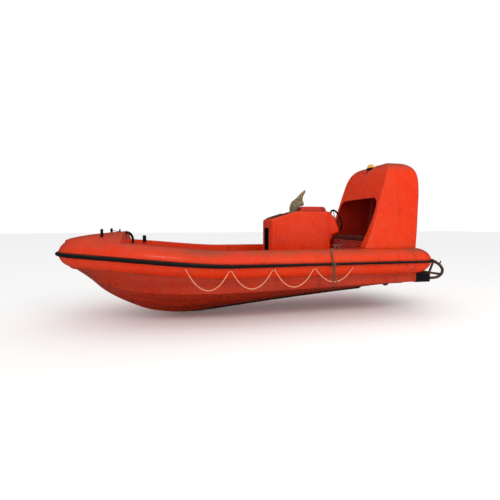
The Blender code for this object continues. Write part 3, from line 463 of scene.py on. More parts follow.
def mesh_of(name, bm, weld=True):
    """Plain mesh of a bmesh, welded and faced outwards."""
    if weld:
        bmesh.ops.remove_doubles(bm, verts=bm.verts[:], dist=0.00002)
    bmesh.ops.recalc_face_normals(bm, faces=bm.faces[:])
    mesh = bpy.data.meshes.new(name)
    bm.to_mesh(mesh)
    bm.free()
    return mesh


def evaluated_mesh(item):
    bpy.context.view_layer.update()
    source = item.evaluated_get(bpy.context.evaluated_depsgraph_get())
    return bpy.data.meshes.new_from_object(source)


def drop(item):
    """Take a helper object and its mesh out of the file."""
    data = item.data
    bpy.data.objects.remove(item, do_unlink=True)
    bpy.data.meshes.remove(data)


def to_piece(name, mesh, finishes, body="boat", sharp=35.0):
    """Smooth-shaded object at the origin that rides on a body."""
    mesh.shade_smooth()
    mesh.set_sharp_from_angle(angle=radians(sharp))
    for finish in finishes[len(mesh.materials):]:
        mesh.materials.append(finish)
    item = put(name, mesh)
    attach(item, body)
    return item


def finish_piece(name, bm, finishes, body="boat", sharp=35.0):
    """Piece from a bmesh with one finish, or a list of them."""
    finishes = finishes if isinstance(finishes, list) else [finishes]
    return to_piece(name, mesh_of(name, bm), finishes, body, sharp)


def adopt(node, finish):
    """Give a kept CAD node its finish."""
    item = NODES[node]
    for spot in item.material_slots:
        spot.material = finish


def skin(bm, rings, caps=(True, True), material=0):
    """Quads between rings of equal point counts, with capped ends."""
    loops = [[bm.verts.new(point) for point in ring] for ring in rings]
    count = len(loops[0])
    for first, second in zip(loops, loops[1:]):
        for i in range(count):
            j = (i + 1) % count
            face = bm.faces.new((first[i], first[j], second[j], second[i]))
            face.material_index = material
    for wanted, loop in zip(caps, (loops[0], loops[-1])):
        if wanted:
            bm.faces.new(loop).material_index = material
    return loops


def round_ring(centre, axis_a, axis_b, radius, sides):
    angles = [tau * k / sides for k in range(sides)]
    return [centre + (axis_a * cos(a) + axis_b * sin(a)) * radius for a in angles]


def path_rings(points, radius, sides=16):
    """Round rings along a path, carried along it without twist."""
    points = [Vector(p) for p in points]
    last = len(points) - 1
    radii = radius if isinstance(radius, list) else [radius] * len(points)
    rings = []
    side = before = None
    for i, point in enumerate(points):
        tangent = (points[min(i + 1, last)] - points[max(i - 1, 0)]).normalized()
        turn = before.rotation_difference(tangent) if before else None
        side = turn @ side if turn else tangent.orthogonal().normalized()
        before = tangent
        rings.append(round_ring(point, side, tangent.cross(side), radii[i], sides))
    return rings


def smooth_path(points, spacing):
    """Smooth curve through the given points at a nearly even spacing."""
    vectors = [Vector(p) for p in points]
    padded = [2 * vectors[0] - vectors[1]] + vectors + [2 * vectors[-1] - vectors[-2]]
    result = [vectors[0]]
    for k in range(1, len(padded) - 2):
        a, b, c, d = padded[k - 1:k + 3]
        pieces = max(1, round((c - b).length / spacing))
        for step in range(1, pieces + 1):
            t = step / pieces
            result.append(0.5 * ((2 * b) + (c - a) * t + (2 * a - 5 * b + 4 * c - d) * t**2 +
                (3 * b - 3 * c + d - a) * t**3))
    return result


def bar(bm, points, radius, sides=20):
    """Round bar along a path with softened ends."""
    points = [Vector(p) for p in points]
    soft = radius * 0.35
    start = (points[1] - points[0]).normalized()
    end = (points[-1] - points[-2]).normalized()
    path = [points[0], points[0] + start * soft * 0.4, points[0] + start * soft]
    path += points[1:-1]
    path += [points[-1] - end * soft, points[-1] - end * soft * 0.4, points[-1]]
    radii = [radius * 0.65, radius * 0.9] + [radius] * (len(path) - 4)
    radii += [radius * 0.9, radius * 0.65]
    skin(bm, path_rings(path, radii, sides))


def rod(bm, start, end, radius, sides=20):
    """Straight bar."""
    bar(bm, [start, (Vector(start) + Vector(end)) / 2, end], radius, sides)


def mm(*pairs):
    """Profile given in millimetres."""
    return [(radius / 1000, along / 1000) for radius, along in pairs]


def turned(bm, profile, base, axis=(0, 0, 1), sides=32, material=0):
    """Round body from (radius, distance along the axis) pairs."""
    base = Vector(base)
    axis = Vector(axis).normalized()
    side = axis.orthogonal().normalized()
    skin(bm, [round_ring(base + axis * along, side, axis.cross(side), max(radius, 0.0001), sides)
              for radius, along in profile], material=material)


def block(bm, low, high, radius=0.004, segments=3, material=0, turn=None):
    """Block with rounded edges, which a matrix may turn about its middle."""
    low = Vector(low)
    high = Vector(high)
    made = bmesh.ops.create_cube(bm, size=1)["verts"]
    bmesh.ops.scale(bm, vec=high - low, verts=made)
    for face in [face for vert in made for face in vert.link_faces]:
        face.material_index = material
    if radius:
        edges = list(dict.fromkeys(edge for vert in made for edge in vert.link_edges))
        result = bmesh.ops.bevel(bm, geom=edges, offset=radius, segments=segments, profile=0.5,
            affect="EDGES")
        rounded = [vert for face in result["faces"] for vert in face.verts]
        made = list(dict.fromkeys(rounded + [vert for vert in made if vert.is_valid]))
    if turn:
        bmesh.ops.transform(bm, matrix=turn.to_4x4(), verts=made)
    bmesh.ops.translate(bm, vec=(low + high) / 2, verts=made)


def round_corners(points, radii, steps=6):
    """Outline with each corner replaced by an arc of its radius."""
    result = []
    count = len(points)
    for i, (corner, radius) in enumerate(zip(points, radii)):
        corner = Vector(corner)
        before = (Vector(points[i - 1]) - corner).normalized()
        after = (Vector(points[(i + 1) % count]) - corner).normalized()
        if radius <= 0:
            result.append(tuple(corner))
            continue
        half = before.angle(after) / 2
        reach = radius / tan(half)
        start = corner + before * reach
        centre = corner + (before + after).normalized() * (radius / sin(half))
        from_centre = start - centre
        swing = from_centre.angle_signed(corner + after * reach - centre)
        for step in range(steps + 1):
            turn = Matrix.Rotation(-swing * step / steps, 2)
            result.append(tuple(centre + turn @ from_centre))
    return result


def inset_corners(corners, insets):
    count = len(corners)
    result = []
    for i, inset in enumerate(insets):
        here = Vector(corners[i])
        before = (here - Vector(corners[i - 1])).normalized()
        after = (Vector(corners[(i + 1) % count]) - here).normalized()
        normal_before = Vector((-before.y, before.x))
        normal_after = Vector((-after.y, after.x))
        bisector = (normal_before + normal_after).normalized()
        result.append(here + bisector * inset / bisector.dot(normal_before))
    return result


def rounded_body(bm, outline, half_width):
    """Body whose side outline is (X, height, corner radius, side rounding) per corner."""
    corners = [(x, z) for x, z, _, _ in outline]
    deepest = max(side for _, _, _, side in outline)
    rings = []
    turns = [90 - 90 * k / 8 for k in range(9)]
    for sign, order in ((-1, turns), (1, turns[::-1])):
        for degrees in order:
            angle = radians(degrees)
            insets = [side * (1 - cos(angle)) for _, _, _, side in outline]
            y = sign * (half_width - deepest * (1 - sin(angle)))
            placed = inset_corners(corners, insets)
            placed[0].y = placed[1].y = outline[0][1]
            radii = [max(radius - inset, 0.004) if radius else 0
                     for (_, _, radius, _), inset in zip(outline, insets)]
            rings.append([Vector((x, y, z)) for x, z in round_corners(placed, radii, 7)])
    skin(bm, rings)


def cut_mesh(name, solid, tools, finishes):
    """Mesh of one closed bmesh with others taken out of it."""
    items = []
    for bm in [solid] + tools:
        items.append(put(name, mesh_of(name + "_part", bm)))
        for finish in finishes:
            items[-1].data.materials.append(finish)
    for tool in items[1:]:
        step = items[0].modifiers.new("cut", "BOOLEAN")
        step.object = tool
        step.solver = "EXACT"
    mesh = evaluated_mesh(items[0])
    mesh.name = name
    for item in items:
        drop(item)
    return mesh


def smooth_table(table, x):
    """Monotone cubic through a table of rows whose first column is X."""
    rows = sorted(table)
    x = min(max(x, rows[0][0]), rows[-1][0])
    k = 0
    while k < len(rows) - 2 and x > rows[k + 1][0]:
        k += 1
    width = rows[k + 1][0] - rows[k][0]
    t = (x - rows[k][0]) / width
    values = []
    for column in range(1, len(rows[0])):
        def slope(i):
            if i <= 0 or i >= len(rows) - 1:
                j = min(max(i, 0), len(rows) - 2)
                return (rows[j + 1][column] - rows[j][column]) / (rows[j + 1][0] - rows[j][0])
            left = (rows[i][column] - rows[i - 1][column]) / (rows[i][0] - rows[i - 1][0])
            right = (rows[i + 1][column] - rows[i][column]) / (rows[i + 1][0] - rows[i][0])
            if left * right <= 0:
                return 0.0
            return 2 * left * right / (left + right)
        y0 = rows[k][column]
        y1 = rows[k + 1][column]
        m0 = slope(k) * width
        m1 = slope(k + 1) * width
        values.append((2 * t**3 - 3 * t**2 + 1) * y0 + (t**3 - 2 * t**2 + t) * m0
                      + (3 * t**2 - 2 * t**3) * y1 + (t**3 - t**2) * m1)
    return values


# Repeated pieces


def repeat_tree(name, inputs):
    """Empty tree that takes points and a finish besides its sizes."""
    return tree_with("GeometryNodeTree", name, {"Geometry": "NodeSocketGeometry", **inputs,
        "Finish": "NodeSocketMaterial"}, {"Geometry": "NodeSocketGeometry"})


def end_tree(tree, given, instances):
    """Make the instances real, give them their finish and put them out."""
    real = node(tree, "GeometryNodeRealizeInstances", {0: instances})[0]
    coated = node(tree, "GeometryNodeSetMaterial", {0: real, "Material": given["Finish"]})[0]
    node(tree, "NodeGroupOutput", {0: coated})
    return tree


def fastener_tree():
    """Round-headed screws on marked points, each with its washer, turned outwards."""
    tree, given = repeat_tree("screw_row", {"Head Radius": 0.006, "Head Height": 0.5,
        "Washer": 1.5, "Seed": 7})
    radius = given["Head Radius"]
    ball = node(tree, "GeometryNodeMeshUVSphere", {"Segments": 10, "Rings": 6, "Radius": radius})
    flat = node(tree, "ShaderNodeCombineXYZ", {0: 1.0, 1: 1.0, 2: given["Head Height"]})
    head = node(tree, "GeometryNodeTransform", {0: ball[0], "Scale": flat[0]})
    washer = node(tree, "GeometryNodeMeshCylinder", {
        "Vertices": 14, "Depth": 0.0016, "Radius": times(tree, radius, given["Washer"])})
    screw = tree.nodes.new("GeometryNodeJoinGeometry")
    for part in (head, washer):
        tree.links.new(part[0], screw.inputs[0])
    facing = node(tree, "GeometryNodeInputNamedAttribute", {"Name": "facing"},
                  data_type="FLOAT_VECTOR")
    aim = node(tree, "FunctionNodeAlignRotationToVector", {"Vector": facing[0]})
    angle = node(tree, "FunctionNodeRandomValue", {3: tau, "Seed": given["Seed"]},
                 data_type="FLOAT")[1]
    about = node(tree, "FunctionNodeAxisAngleToRotation", {"Axis": (0, 0, 1), "Angle": angle})
    turn = node(tree, "FunctionNodeRotateRotation", {0: aim[0], 1: about[0]},
                rotation_space="LOCAL")
    points = node(tree, "GeometryNodeMeshToPoints", {0: given["Geometry"]})
    placed = node(tree, "GeometryNodeInstanceOnPoints", {
        "Points": points[0], "Instance": screw.outputs[0], "Rotation": turn[0]})
    return end_tree(tree, given, placed[0])


def rib_tree():
    """Straight ribs side by side along Y."""
    tree, given = repeat_tree("rib_row", {"Count": 10, "Pitch": 0.03, "Length": 0.2, "Width": 0.01,
        "Height": 0.004})
    step = node(tree, "ShaderNodeCombineXYZ", {1: given["Pitch"]})
    line = node(tree, "GeometryNodeMeshLine", {"Count": given["Count"], "Offset": step[0]})
    size = node(tree, "ShaderNodeCombineXYZ",
                {0: given["Length"], 1: given["Width"], 2: given["Height"]})
    rib = node(tree, "GeometryNodeMeshCube", {"Size": size[0], "Vertices X": 2})
    starts = node(tree, "GeometryNodeMeshToPoints", {0: given["Geometry"]})
    row = node(tree, "GeometryNodeInstanceOnPoints", {"Points": line[0], "Instance": rib[0]})
    rows = node(tree, "GeometryNodeInstanceOnPoints", {"Points": starts[0], "Instance": row[0]})
    return end_tree(tree, given, rows[0])


def stitch_tree():
    """Short raised stitches along a path."""
    tree, given = repeat_tree("stitch_row", {"Spacing": 0.012, "Length": 0.008, "Thread": 0.0012})
    line = node(tree, "GeometryNodeMeshToCurve", {0: given["Geometry"]})
    dots = node(tree, "GeometryNodeCurveToPoints", {"Curve": line[0], "Length": given["Spacing"]},
                mode="LENGTH")
    thread = node(tree, "GeometryNodeMeshCylinder", {
        "Vertices": 6, "Radius": given["Thread"], "Depth": given["Length"]})
    placed = node(tree, "GeometryNodeInstanceOnPoints", {
        "Points": dots["Points"], "Instance": thread[0], "Rotation": dots["Rotation"]})
    return end_tree(tree, given, placed[0])


SCREWS = fastener_tree()
RIBS = rib_tree()
STITCHES = stitch_tree()


def grown(name, points, tree, values, finish, body="boat", facing=None, closed=False, line=False):
    """Run a repeating tree over points and keep its result as a plain mesh piece."""
    mesh = bpy.data.meshes.new(name)
    count = len(points)
    edges = [(i, i + 1) for i in range(count - 1)] + ([(count - 1, 0)] if closed else [])
    mesh.from_pydata([tuple(p) for p in points], edges if line else [], [])
    if facing:
        made = mesh.attributes.new("facing", "FLOAT_VECTOR", "POINT")
        made.data.foreach_set("vector", [c for direction in facing for c in direction])
    holder = put(name + "_holder", mesh)
    step = holder.modifiers.new("repeat", "NODES")
    step.node_group = tree
    values = dict(values, Finish=finish)
    for socket in tree.interface.items_tree:
        if socket.in_out == "INPUT" and socket.name in values:
            step[socket.identifier] = values[socket.name]
    result = evaluated_mesh(holder)
    holder.modifiers.remove(step)
    drop(holder)
    result.name = name
    result.materials.clear()
    return to_piece(name, result, [finish], body)


def screws(name, places, radius, finish=None):
    """Screw heads at (point, outward direction) places."""
    return grown(name, [p for p, _ in places], SCREWS, {"Head Radius": radius},
                 finish or STAINLESS, facing=[tuple(d) for _, d in places])


# Ropes

GRAB_PITCH = 0.6925
GRAB_START_X = -1.10
GRAB_SAGS = (0.322, 0.302, 0.298, 0.238)
GRAB_TOP_Z = 0.438
GRAB_RADIUS = 0.007
GRAB_FALL_BACK = 0.0111
MOORING_RADIUS = 0.011
TAIL_RADIUS = 0.008
FENDER_DEPTH = 0.05


def fender_height(x):
    """Height of the collar's widest line, which rises towards the bow."""
    reach = BOW_RISE_X - NOSE_X
    share = clamped((BOW_RISE_X - x) / reach)
    return FENDER_Z + BOW_RISE * sin(pi / 2 * share) ** 1.6


def half_beam_at(x, nose_x=NOSE_X, half_beam=HALF_BEAM):
    """Half-breadth of a bow curve at one X."""
    if x >= PARALLEL_X:
        return half_beam
    share = min((PARALLEL_X - x) / (PARALLEL_X - nose_x), 1)
    return half_beam * max(1 - share**2.1, 0) ** (1 / 2.1)


def grab_line_route(sign):
    """Four loops between five beckets, turned through each becket on a small arc."""
    arc = 0.030
    points = []
    steps = 34
    for loop, sag in enumerate(GRAB_SAGS):
        reach = arc * sin(atan(4 * sag / GRAB_PITCH))
        start = sag * (1 - (2 * reach / GRAB_PITCH - 1) ** 2)
        lift = start - 0.008 - arc + sqrt(arc**2 - reach**2)
        for step in range(steps + 1):
            if step == steps and loop < len(GRAB_SAGS) - 1:
                continue
            share = 0.5 - 0.5 * cos(pi * step / steps)
            along = GRAB_PITCH * share
            near = min(along, GRAB_PITCH - along)
            x = GRAB_START_X + GRAB_PITCH * loop + along
            top = GRAB_TOP_Z + fender_height(x) - FENDER_Z
            if near < reach:
                z = top - 0.008 - (arc - sqrt(arc**2 - near**2))
            else:
                drop = sag * (1 - (2 * share - 1) ** 2)
                z = top - drop + lift * max(0, 1 - (near - reach) / 0.16) ** 2
            y = half_beam_at(x) - GRAB_FALL_BACK + GRAB_RADIUS + HAIRLINE
            points.append(Vector((x, sign * y, z)))
    return points


def over_collar(x, degrees, radius):
    angle = radians(degrees)
    clear = radius + 0.0016
    middle = HALF_BEAM - COLLAR_ROUND
    return (x, -middle - (COLLAR_ROUND + clear) * cos(angle),
            FENDER_Z + (COLLAR_HALF + clear) * sin(angle))


def mooring_route():
    crown = [(1.385, 96), (1.36, 84), (1.335, 72), (1.315, 60), (1.3, 48), (1.29, 37)]
    points = [over_collar(x, degrees, MOORING_RADIUS) for x, degrees in crown]
    hang = -HALF_BEAM - FENDER_DEPTH - MOORING_RADIUS - 0.0006
    points += [(1.283, -1.135, 0.592), (1.277, -1.167, 0.548), (1.272, hang, 0.5)]
    points += [(1.27, hang - 0.002, 0.445), (1.271, hang, 0.38), (1.273, hang, 0.31),
               (1.275, hang, 0.24), (1.274, hang, 0.17), (1.272, hang, 0.1)]
    return points


def tail_route():
    hang = -HALF_BEAM - FENDER_DEPTH - TAIL_RADIUS - 0.0006
    return [(1.294, hang, 0.5), (1.296, hang, 0.45), (1.301, hang, 0.39), (1.308, hang, 0.33),
            (1.318, hang, 0.27), (1.332, hang, 0.21), (1.345, hang, 0.16)]


def rope_piece(name, points, radius, finish, sides=12, closed=False):
    """Tube with a UV map in metres along it and turns round it."""
    rings = path_rings(points, radius, sides)
    bm = bmesh.new()
    layer = bm.loops.layers.uv.new("rope_map")
    loops = [[bm.verts.new(point) for point in ring] for ring in rings]
    along = 0.0
    for k in range(len(loops) - 1):
        step = (Vector(points[k + 1]) - Vector(points[k])).length
        for i in range(sides):
            j = (i + 1) % sides
            face = bm.faces.new((loops[k][i], loops[k][j], loops[k + 1][j], loops[k + 1][i]))
            for corner, uv in zip(face.loops, ((along, i / sides), (along, (i + 1) / sides),
                    (along + step, (i + 1) / sides), (along + step, i / sides))):
                corner[layer].uv = uv
        along += step
    if not closed:
        bm.faces.new(loops[0][::-1])
        bm.faces.new(loops[-1])
    return to_piece(name, mesh_of(name, bm, weld=False), [finish]), along


def knot_path(centre, size, squeeze):
    """Three-lobed overhand knot, drawn tight against the boat's side."""
    points = []
    for k in range(97):
        t = tau * k / 96
        x = (sin(t) + 2 * sin(2 * t)) / 3
        z = (cos(t) - 2 * cos(2 * t)) / 3
        y = -sin(3 * t)
        points.append(Vector(centre) + Vector((x * size, y * squeeze, z * size)))
    return points


def make_ropes():
    for name, node, sign in (("grab_rope_port", "grab_line_port", PORT),
            ("grab_rope_starboard", "grab_line_starboard", STARBOARD)):
        route = grab_line_route(sign)
        line, length = rope_piece(name, route, GRAB_RADIUS, GRAB_ROPE)
        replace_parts(line, node)
    route = smooth_path(mooring_route(), 0.012)
    rope, length = rope_piece("mooring_rope_laid", route, MOORING_RADIUS, MOORING_ROPE, 14)
    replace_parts(rope, "mooring_rope")
    knot, _ = rope_piece("mooring_knot", knot_path((1.283, -1.1925, 0.497), 0.026, 0.009), 0.0095,
        MOORING_ROPE, 12, True)
    whipping = bmesh.new()
    for number in range(7):
        z = 0.106 + 0.0035 * number
        turned(whipping, mm((10.8, -1.6), (12.4, 0), (10.8, 1.6)), (1.2722, route[-1].y, z),
            sides=16)
    whipping = finish_piece("rope_whipping", whipping, GRIP)
    route = smooth_path(tail_route(), 0.012)
    tail, length = rope_piece("mooring_tail_laid", route, TAIL_RADIUS, MOORING_ROPE, 12)
    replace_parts(tail, "mooring_tail")


def make_beckets():
    """Moulded beckets in the orange gelcoat that carry the grab lines under the fender."""
    bm = bmesh.new()
    for sign in SIDES:
        for number in range(len(GRAB_SAGS) + 1):
            x = GRAB_START_X + GRAB_PITCH * number
            z = GRAB_TOP_Z + fender_height(x) - FENDER_Z
            y = half_beam_at(x) - GRAB_FALL_BACK
            slope = (half_beam_at(x + 0.02) - half_beam_at(x - 0.02)) / 0.04
            turn = Matrix.Rotation(sign * atan(slope), 3, "Z")
            block(bm, (x - 0.034, sign * y - 0.004, z - 0.045), (x + 0.034, sign * y + 0.004,
                z + 0.012), 0.0035, 2, turn=turn)
            y += GRAB_RADIUS + HAIRLINE
            block(bm, (x - 0.009, sign * y - 0.0095, z - 0.018), (x + 0.009, sign * y + 0.0095,
                z + 0.006), 0.004, 3, turn=turn)
    finish_piece("grab_line_beckets", bm, ORANGE)


# Collar and hull


def plan_point(angle, nose_x, half_beam):
    power = 2 / 2.1
    x = PARALLEL_X - (PARALLEL_X - nose_x) * cos(angle) ** power
    return Vector((x, half_beam * sin(angle) ** power))


def collar_section():
    """Share of the way in and height from the fender line, with a lip each side of it."""
    points = []
    lips = {-13.4: 0.007, -10.2: 0.007, 10.2: 0.007, 13.4: 0.007}
    angles = [-90 + 6 * k for k in range(12)] + [-15.5, -13.4, -10.2, -9.2, 0, 9.2, 10.2, 13.4,
        15.5]
    angles += [24 + 6 * k for k in range(12)]
    for degrees in angles:
        angle = radians(degrees)
        out = lips.get(degrees, 0)
        points.append(((COLLAR_ROUND - (COLLAR_ROUND + out) * cos(angle)) / COLLAR_WIDTH,
                       COLLAR_HALF * sin(angle)))
    for k in range(7):
        angle = pi / 2 * k / 6
        points.append((0.93 + 0.07 * sin(angle), COLLAR_HALF - 0.022 * (1 - cos(angle))))
    points += [(1, 0.08), (1, -0.08), (1, -COLLAR_HALF), (0.85, -COLLAR_HALF)]
    return points


def collar_frames():
    """Outer and inner plan points, fender height and size, from port aft round the bow."""
    side = [(PARALLEL_X + (COLLAR_END_X - PARALLEL_X) * k / 18, 1) for k in range(19)]
    for degrees in (6, 12, 18, 24, 31, 38, 45, 52, 59, 66, 72, 78, 83, 87, 89.5):
        angle = radians(degrees)
        side.append((COLLAR_END_X + COLLAR_CAP * sin(angle), cos(angle)))
    straight = {}
    for sign in SIDES:
        straight[sign] = [(Vector((x, sign * HALF_BEAM)), Vector((x,
            sign * (HALF_BEAM - COLLAR_WIDTH))), fender_height(x), scale) for x, scale in side]
    bow = []
    for k in range(-35, 36):
        angle = radians(abs(k) * 2.5)
        sign = 1 if k > 0 else -1
        outer = plan_point(angle, NOSE_X, HALF_BEAM)
        inner = plan_point(angle, WELL_NOSE_X, HALF_BEAM - COLLAR_WIDTH)
        bow.append((Vector((outer.x, sign * outer.y)), Vector((inner.x, sign * inner.y)),
                    fender_height(outer.x), 1))
    return straight[PORT][::-1] + bow + straight[STARBOARD]


def make_collar():
    middle = COLLAR_ROUND / COLLAR_WIDTH
    bm = bmesh.new()
    skin(bm, [[(*outer.lerp(inner, middle + (share - middle) * scale), z + rise * scale)
        for share, rise in collar_section()] for outer, inner, z, scale in collar_frames()])
    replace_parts(finish_piece("collar_moulding", bm, ORANGE), "collar_bow", "collar_port",
        "collar_starboard")


def make_fender():
    """Rubber strake along the widest line, with a groove down its middle."""
    half = [(-0.006, 0.031), (0.014, 0.032), (0.024, 0.03), (0.034, 0.026), (0.043, 0.019),
            (0.0485, 0.01), (0.0495, 0.005), (0.0465, 0.002)]
    profile = [(out, -rise) for out, rise in half] + half[::-1]
    middle = COLLAR_ROUND / COLLAR_WIDTH
    frames = [frame for frame in collar_frames() if frame[3] > 0.27]
    rings = []
    for number, (outer, inner, z, scale) in enumerate(frames):
        centre = outer.lerp(inner, middle)
        edge = centre.lerp(outer, scale)
        out = (outer - inner).normalized()
        close = min(number, len(frames) - 1 - number)
        share = (0.55, 0.85, 1)[min(close, 2)]
        narrow = share * (1 - 0.34 * clamped((edge.x + 0.9) / 2) ** 0.8)
        rings.append([Vector((edge.x + out.x * o * share, edge.y + out.y * o * share,
            z + rise * narrow)) for o, rise in profile])
    bm = bmesh.new()
    skin(bm, rings)
    strake = finish_piece("fender_strake", bm, RUBBER, sharp=50)
    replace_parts(strake, "fender_bow", "fender_port", "fender_starboard")


# X, keel height, chine half-breadth, chine height
HULL_LINES = [
    (-2.9, 0.42, 0.03, 0.455), (-2.66, 0.238, 0.24, 0.33), (-2.41, 0.01, 0.42, 0.215),
    (-2.06, -0.197, 0.6, 0.12), (-1.6, -0.375, 0.76, 0.066), (-1.1, -0.432, 0.87, 0.048),
    (-0.5, -0.372, 0.93, 0.047), (0.5, -0.27, 0.95, 0.064), (1.75, -0.162, 0.95, 0.097),
    (2.99, -0.07, 0.95, 0.124),
]


def hull_half_section(x, ahead):
    """Half section from the keel up the outside, over the edge and across the sole."""
    keel, chine_half, chine = smooth_table(HULL_LINES, x)
    fade = clamped((x + 2.75) / 0.9)
    keel_half = min(0.03, 0.5 * chine_half)
    inner = Vector((chine_half - 0.045 * fade, chine))
    root = Vector((keel_half, keel))
    down = 0.016 * fade
    points = [(0, keel - 0.002), (keel_half * 0.8, keel - 0.001), (root.x, root.y)]
    for k in range(1, 24):
        bottom = root.lerp(inner, k / 24)
        swell = 0.0065 * fade * cos(tau * 2.5 * k / 24)
        points.append((bottom.x, bottom.y - swell * min(1, 4 * (1 - k / 24))))
    points += [(inner.x, inner.y - 0.2 * down), (inner.x + 0.02 * fade, inner.y - 0.3 * down),
               (chine_half - 0.006, chine - 0.006 * fade), (chine_half, chine - 0.003 * fade),
               (chine_half + 0.0025, chine + 0.006), (chine_half + 0.001, chine + 0.012)]
    top_half = max(half_beam_at(x) - 0.165, 0.05)
    crease = max(fender_height(x) - COLLAR_HALF, chine + 0.02)
    start = Vector((chine_half, chine + 0.014))
    for share in (0.33, 0.66, 1):
        side = start.lerp(Vector((top_half, crease)), share)
        points.append((side.x, side.y))
    room = min(half_beam_at(x, WELL_NOSE_X, HALF_BEAM - COLLAR_WIDTH), top_half)
    if ahead:
        top = 0.60
        points += [(top_half, top)] + [(room * s, top) for s in (1, 1, 1, 1, 1, 0.8, 0.4, 0)]
    else:
        top = crease + 0.03
        points += [(top_half, top), (room, top)]
        cove = 0.03
        for k in range(4):
            angle = pi / 2 * k / 3
            points.append((room - cove + cove * cos(angle), SOLE_Z + cove - cove * sin(angle)))
        points += [(room * 0.8, SOLE_Z), (room * 0.4, SOLE_Z), (0, SOLE_Z)]
    return points


def make_hull():
    stations = [(-2.9 + 0.04 * k, True) for k in range(21)]
    stations += [(BULKHEAD_X - 0.0002, True), (BULKHEAD_X, False)]
    stations += [(BULKHEAD_X + (TRANSOM_X - BULKHEAD_X) * k / 64, False) for k in range(1, 65)]
    bm = bmesh.new()
    rings = []
    for x, ahead in stations:
        half = hull_half_section(x, ahead)
        rings.append([(x, y, z) for y, z in half + [(-y, z) for y, z in half[-2:0:-1]]])
    skin(bm, rings)
    for face in bm.faces:
        middle = face.calc_center_median()
        room = half_beam_at(middle.x, WELL_NOSE_X, HALF_BEAM - COLLAR_WIDTH) + 0.004
        if middle.z > SOLE_Z - 0.001 and abs(middle.y) < room and middle.x > BULKHEAD_X - 0.001:
            face.material_index = 1 if middle.x < TRANSOM_X - 0.001 else 0
    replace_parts(finish_piece("hull_moulding", bm, [HULL_RED, WELL_RED], sharp=28), "hull_bottom")
    adopt("keel_skeg", SHOE)


def make_sole():
    """Raised non-skid panels and drains on the cockpit sole."""
    bm = bmesh.new()
    for x0, x1, y0, y1 in ((-1.62, -0.92, 0.04, 0.54), (-0.86, -0.16, 0.04, 0.62),
                           (-0.1, 0.4, 0.04, 0.62), (0.47, 2.06, 0.4, 0.7)):
        for sign in SIDES:
            low, high = sorted((sign * y0, sign * y1))
            block(bm, (x0, low, SOLE_Z - 0.002), (x1, high, SOLE_Z + 0.004), 0.003, 2)
    finish_piece("sole_panels", bm, NONSKID)
    bm = bmesh.new()
    for x in (-0.51, 1.2):
        for sign in SIDES:
            turned(bm, mm((0, 0), (42, 0), (45, 2), (43, 6), (34, 7), (31, 4), (0, 4)),
                (x, sign * 0.735, SOLE_Z - 0.001), sides=24)
    finish_piece("sole_drains", bm, STAINLESS)


# Foredeck and its fittings

DECK_LINE = [(-2.98, 0.886), (-2.933, 0.908), (-2.8, 0.94), (-2.66, 0.966), (-2.49, 0.988),
             (-2.3, 1.008), (-2.16, 1.02), (-2.05, 1.028)]
DECK_LAP = 0.10


def deck_edge(x):
    return half_beam_at(x, NOSE_X + DECK_LAP, HALF_BEAM - DECK_LAP)


def inset_at(x, y):
    """How far a plan point lies inside the bow's outer line."""
    low, high = 0.0, HALF_BEAM
    for _ in range(30):
        middle = (low + high) / 2
        inside = x > NOSE_X + middle and abs(y) < half_beam_at(x, NOSE_X + middle,
            HALF_BEAM - middle)
        low, high = (middle, high) if inside else (low, middle)
    return low


def deck_height(x, y):
    """Crown that leaves the collar on its own curve and rises to the centre line."""
    lap = 1 - DECK_LAP / COLLAR_ROUND
    edge = fender_height(x) + COLLAR_HALF * sqrt(1 - lap * lap) - 0.001
    middle = inset_at(x, 0)
    share = clamped((inset_at(x, y) - DECK_LAP) / max(middle - DECK_LAP, 0.01))
    rise = smooth_table(DECK_LINE, x)[0] - edge
    return edge + rise * (1 - (1 - share) ** 2.4)


def make_foredeck():
    shares = [1, 0.995, 0.985, 0.97, 0.95, 0.92, 0.88, 0.84, 0.8, 0.74, 0.67, 0.59, 0.5, 0.4,
              0.28, 0.14, 0]
    rings = []
    xs = [-3.005, -3, -2.992, -2.98, -2.965, -2.945, -2.92, -2.89, -2.86, -2.83, -2.79, -2.75,
          -2.71, -2.67, -2.63, -2.59, -2.55, -2.5, -2.45, -2.4, -2.35, -2.3, -2.25, -2.2,
          -2.15, -2.1, -2.07, -2.056, BULKHEAD_X]
    for x in xs:
        half = deck_edge(x)
        across = [half * s for s in shares] + [-half * s for s in shares[-2::-1]]
        drop = {BULKHEAD_X: 0.006, -2.056: 0.0015}.get(x, 0)
        top = [Vector((x, y, deck_height(x, y) - drop)) for y in across]
        foot = max(0.6003, fender_height(x) + 0.05)
        rings.append(top + [Vector((x, -half, foot)), Vector((x, half, foot))])
    bm = bmesh.new()
    skin(bm, rings)
    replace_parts(finish_piece("foredeck_moulding", bm, ORANGE, sharp=45), "foredeck")


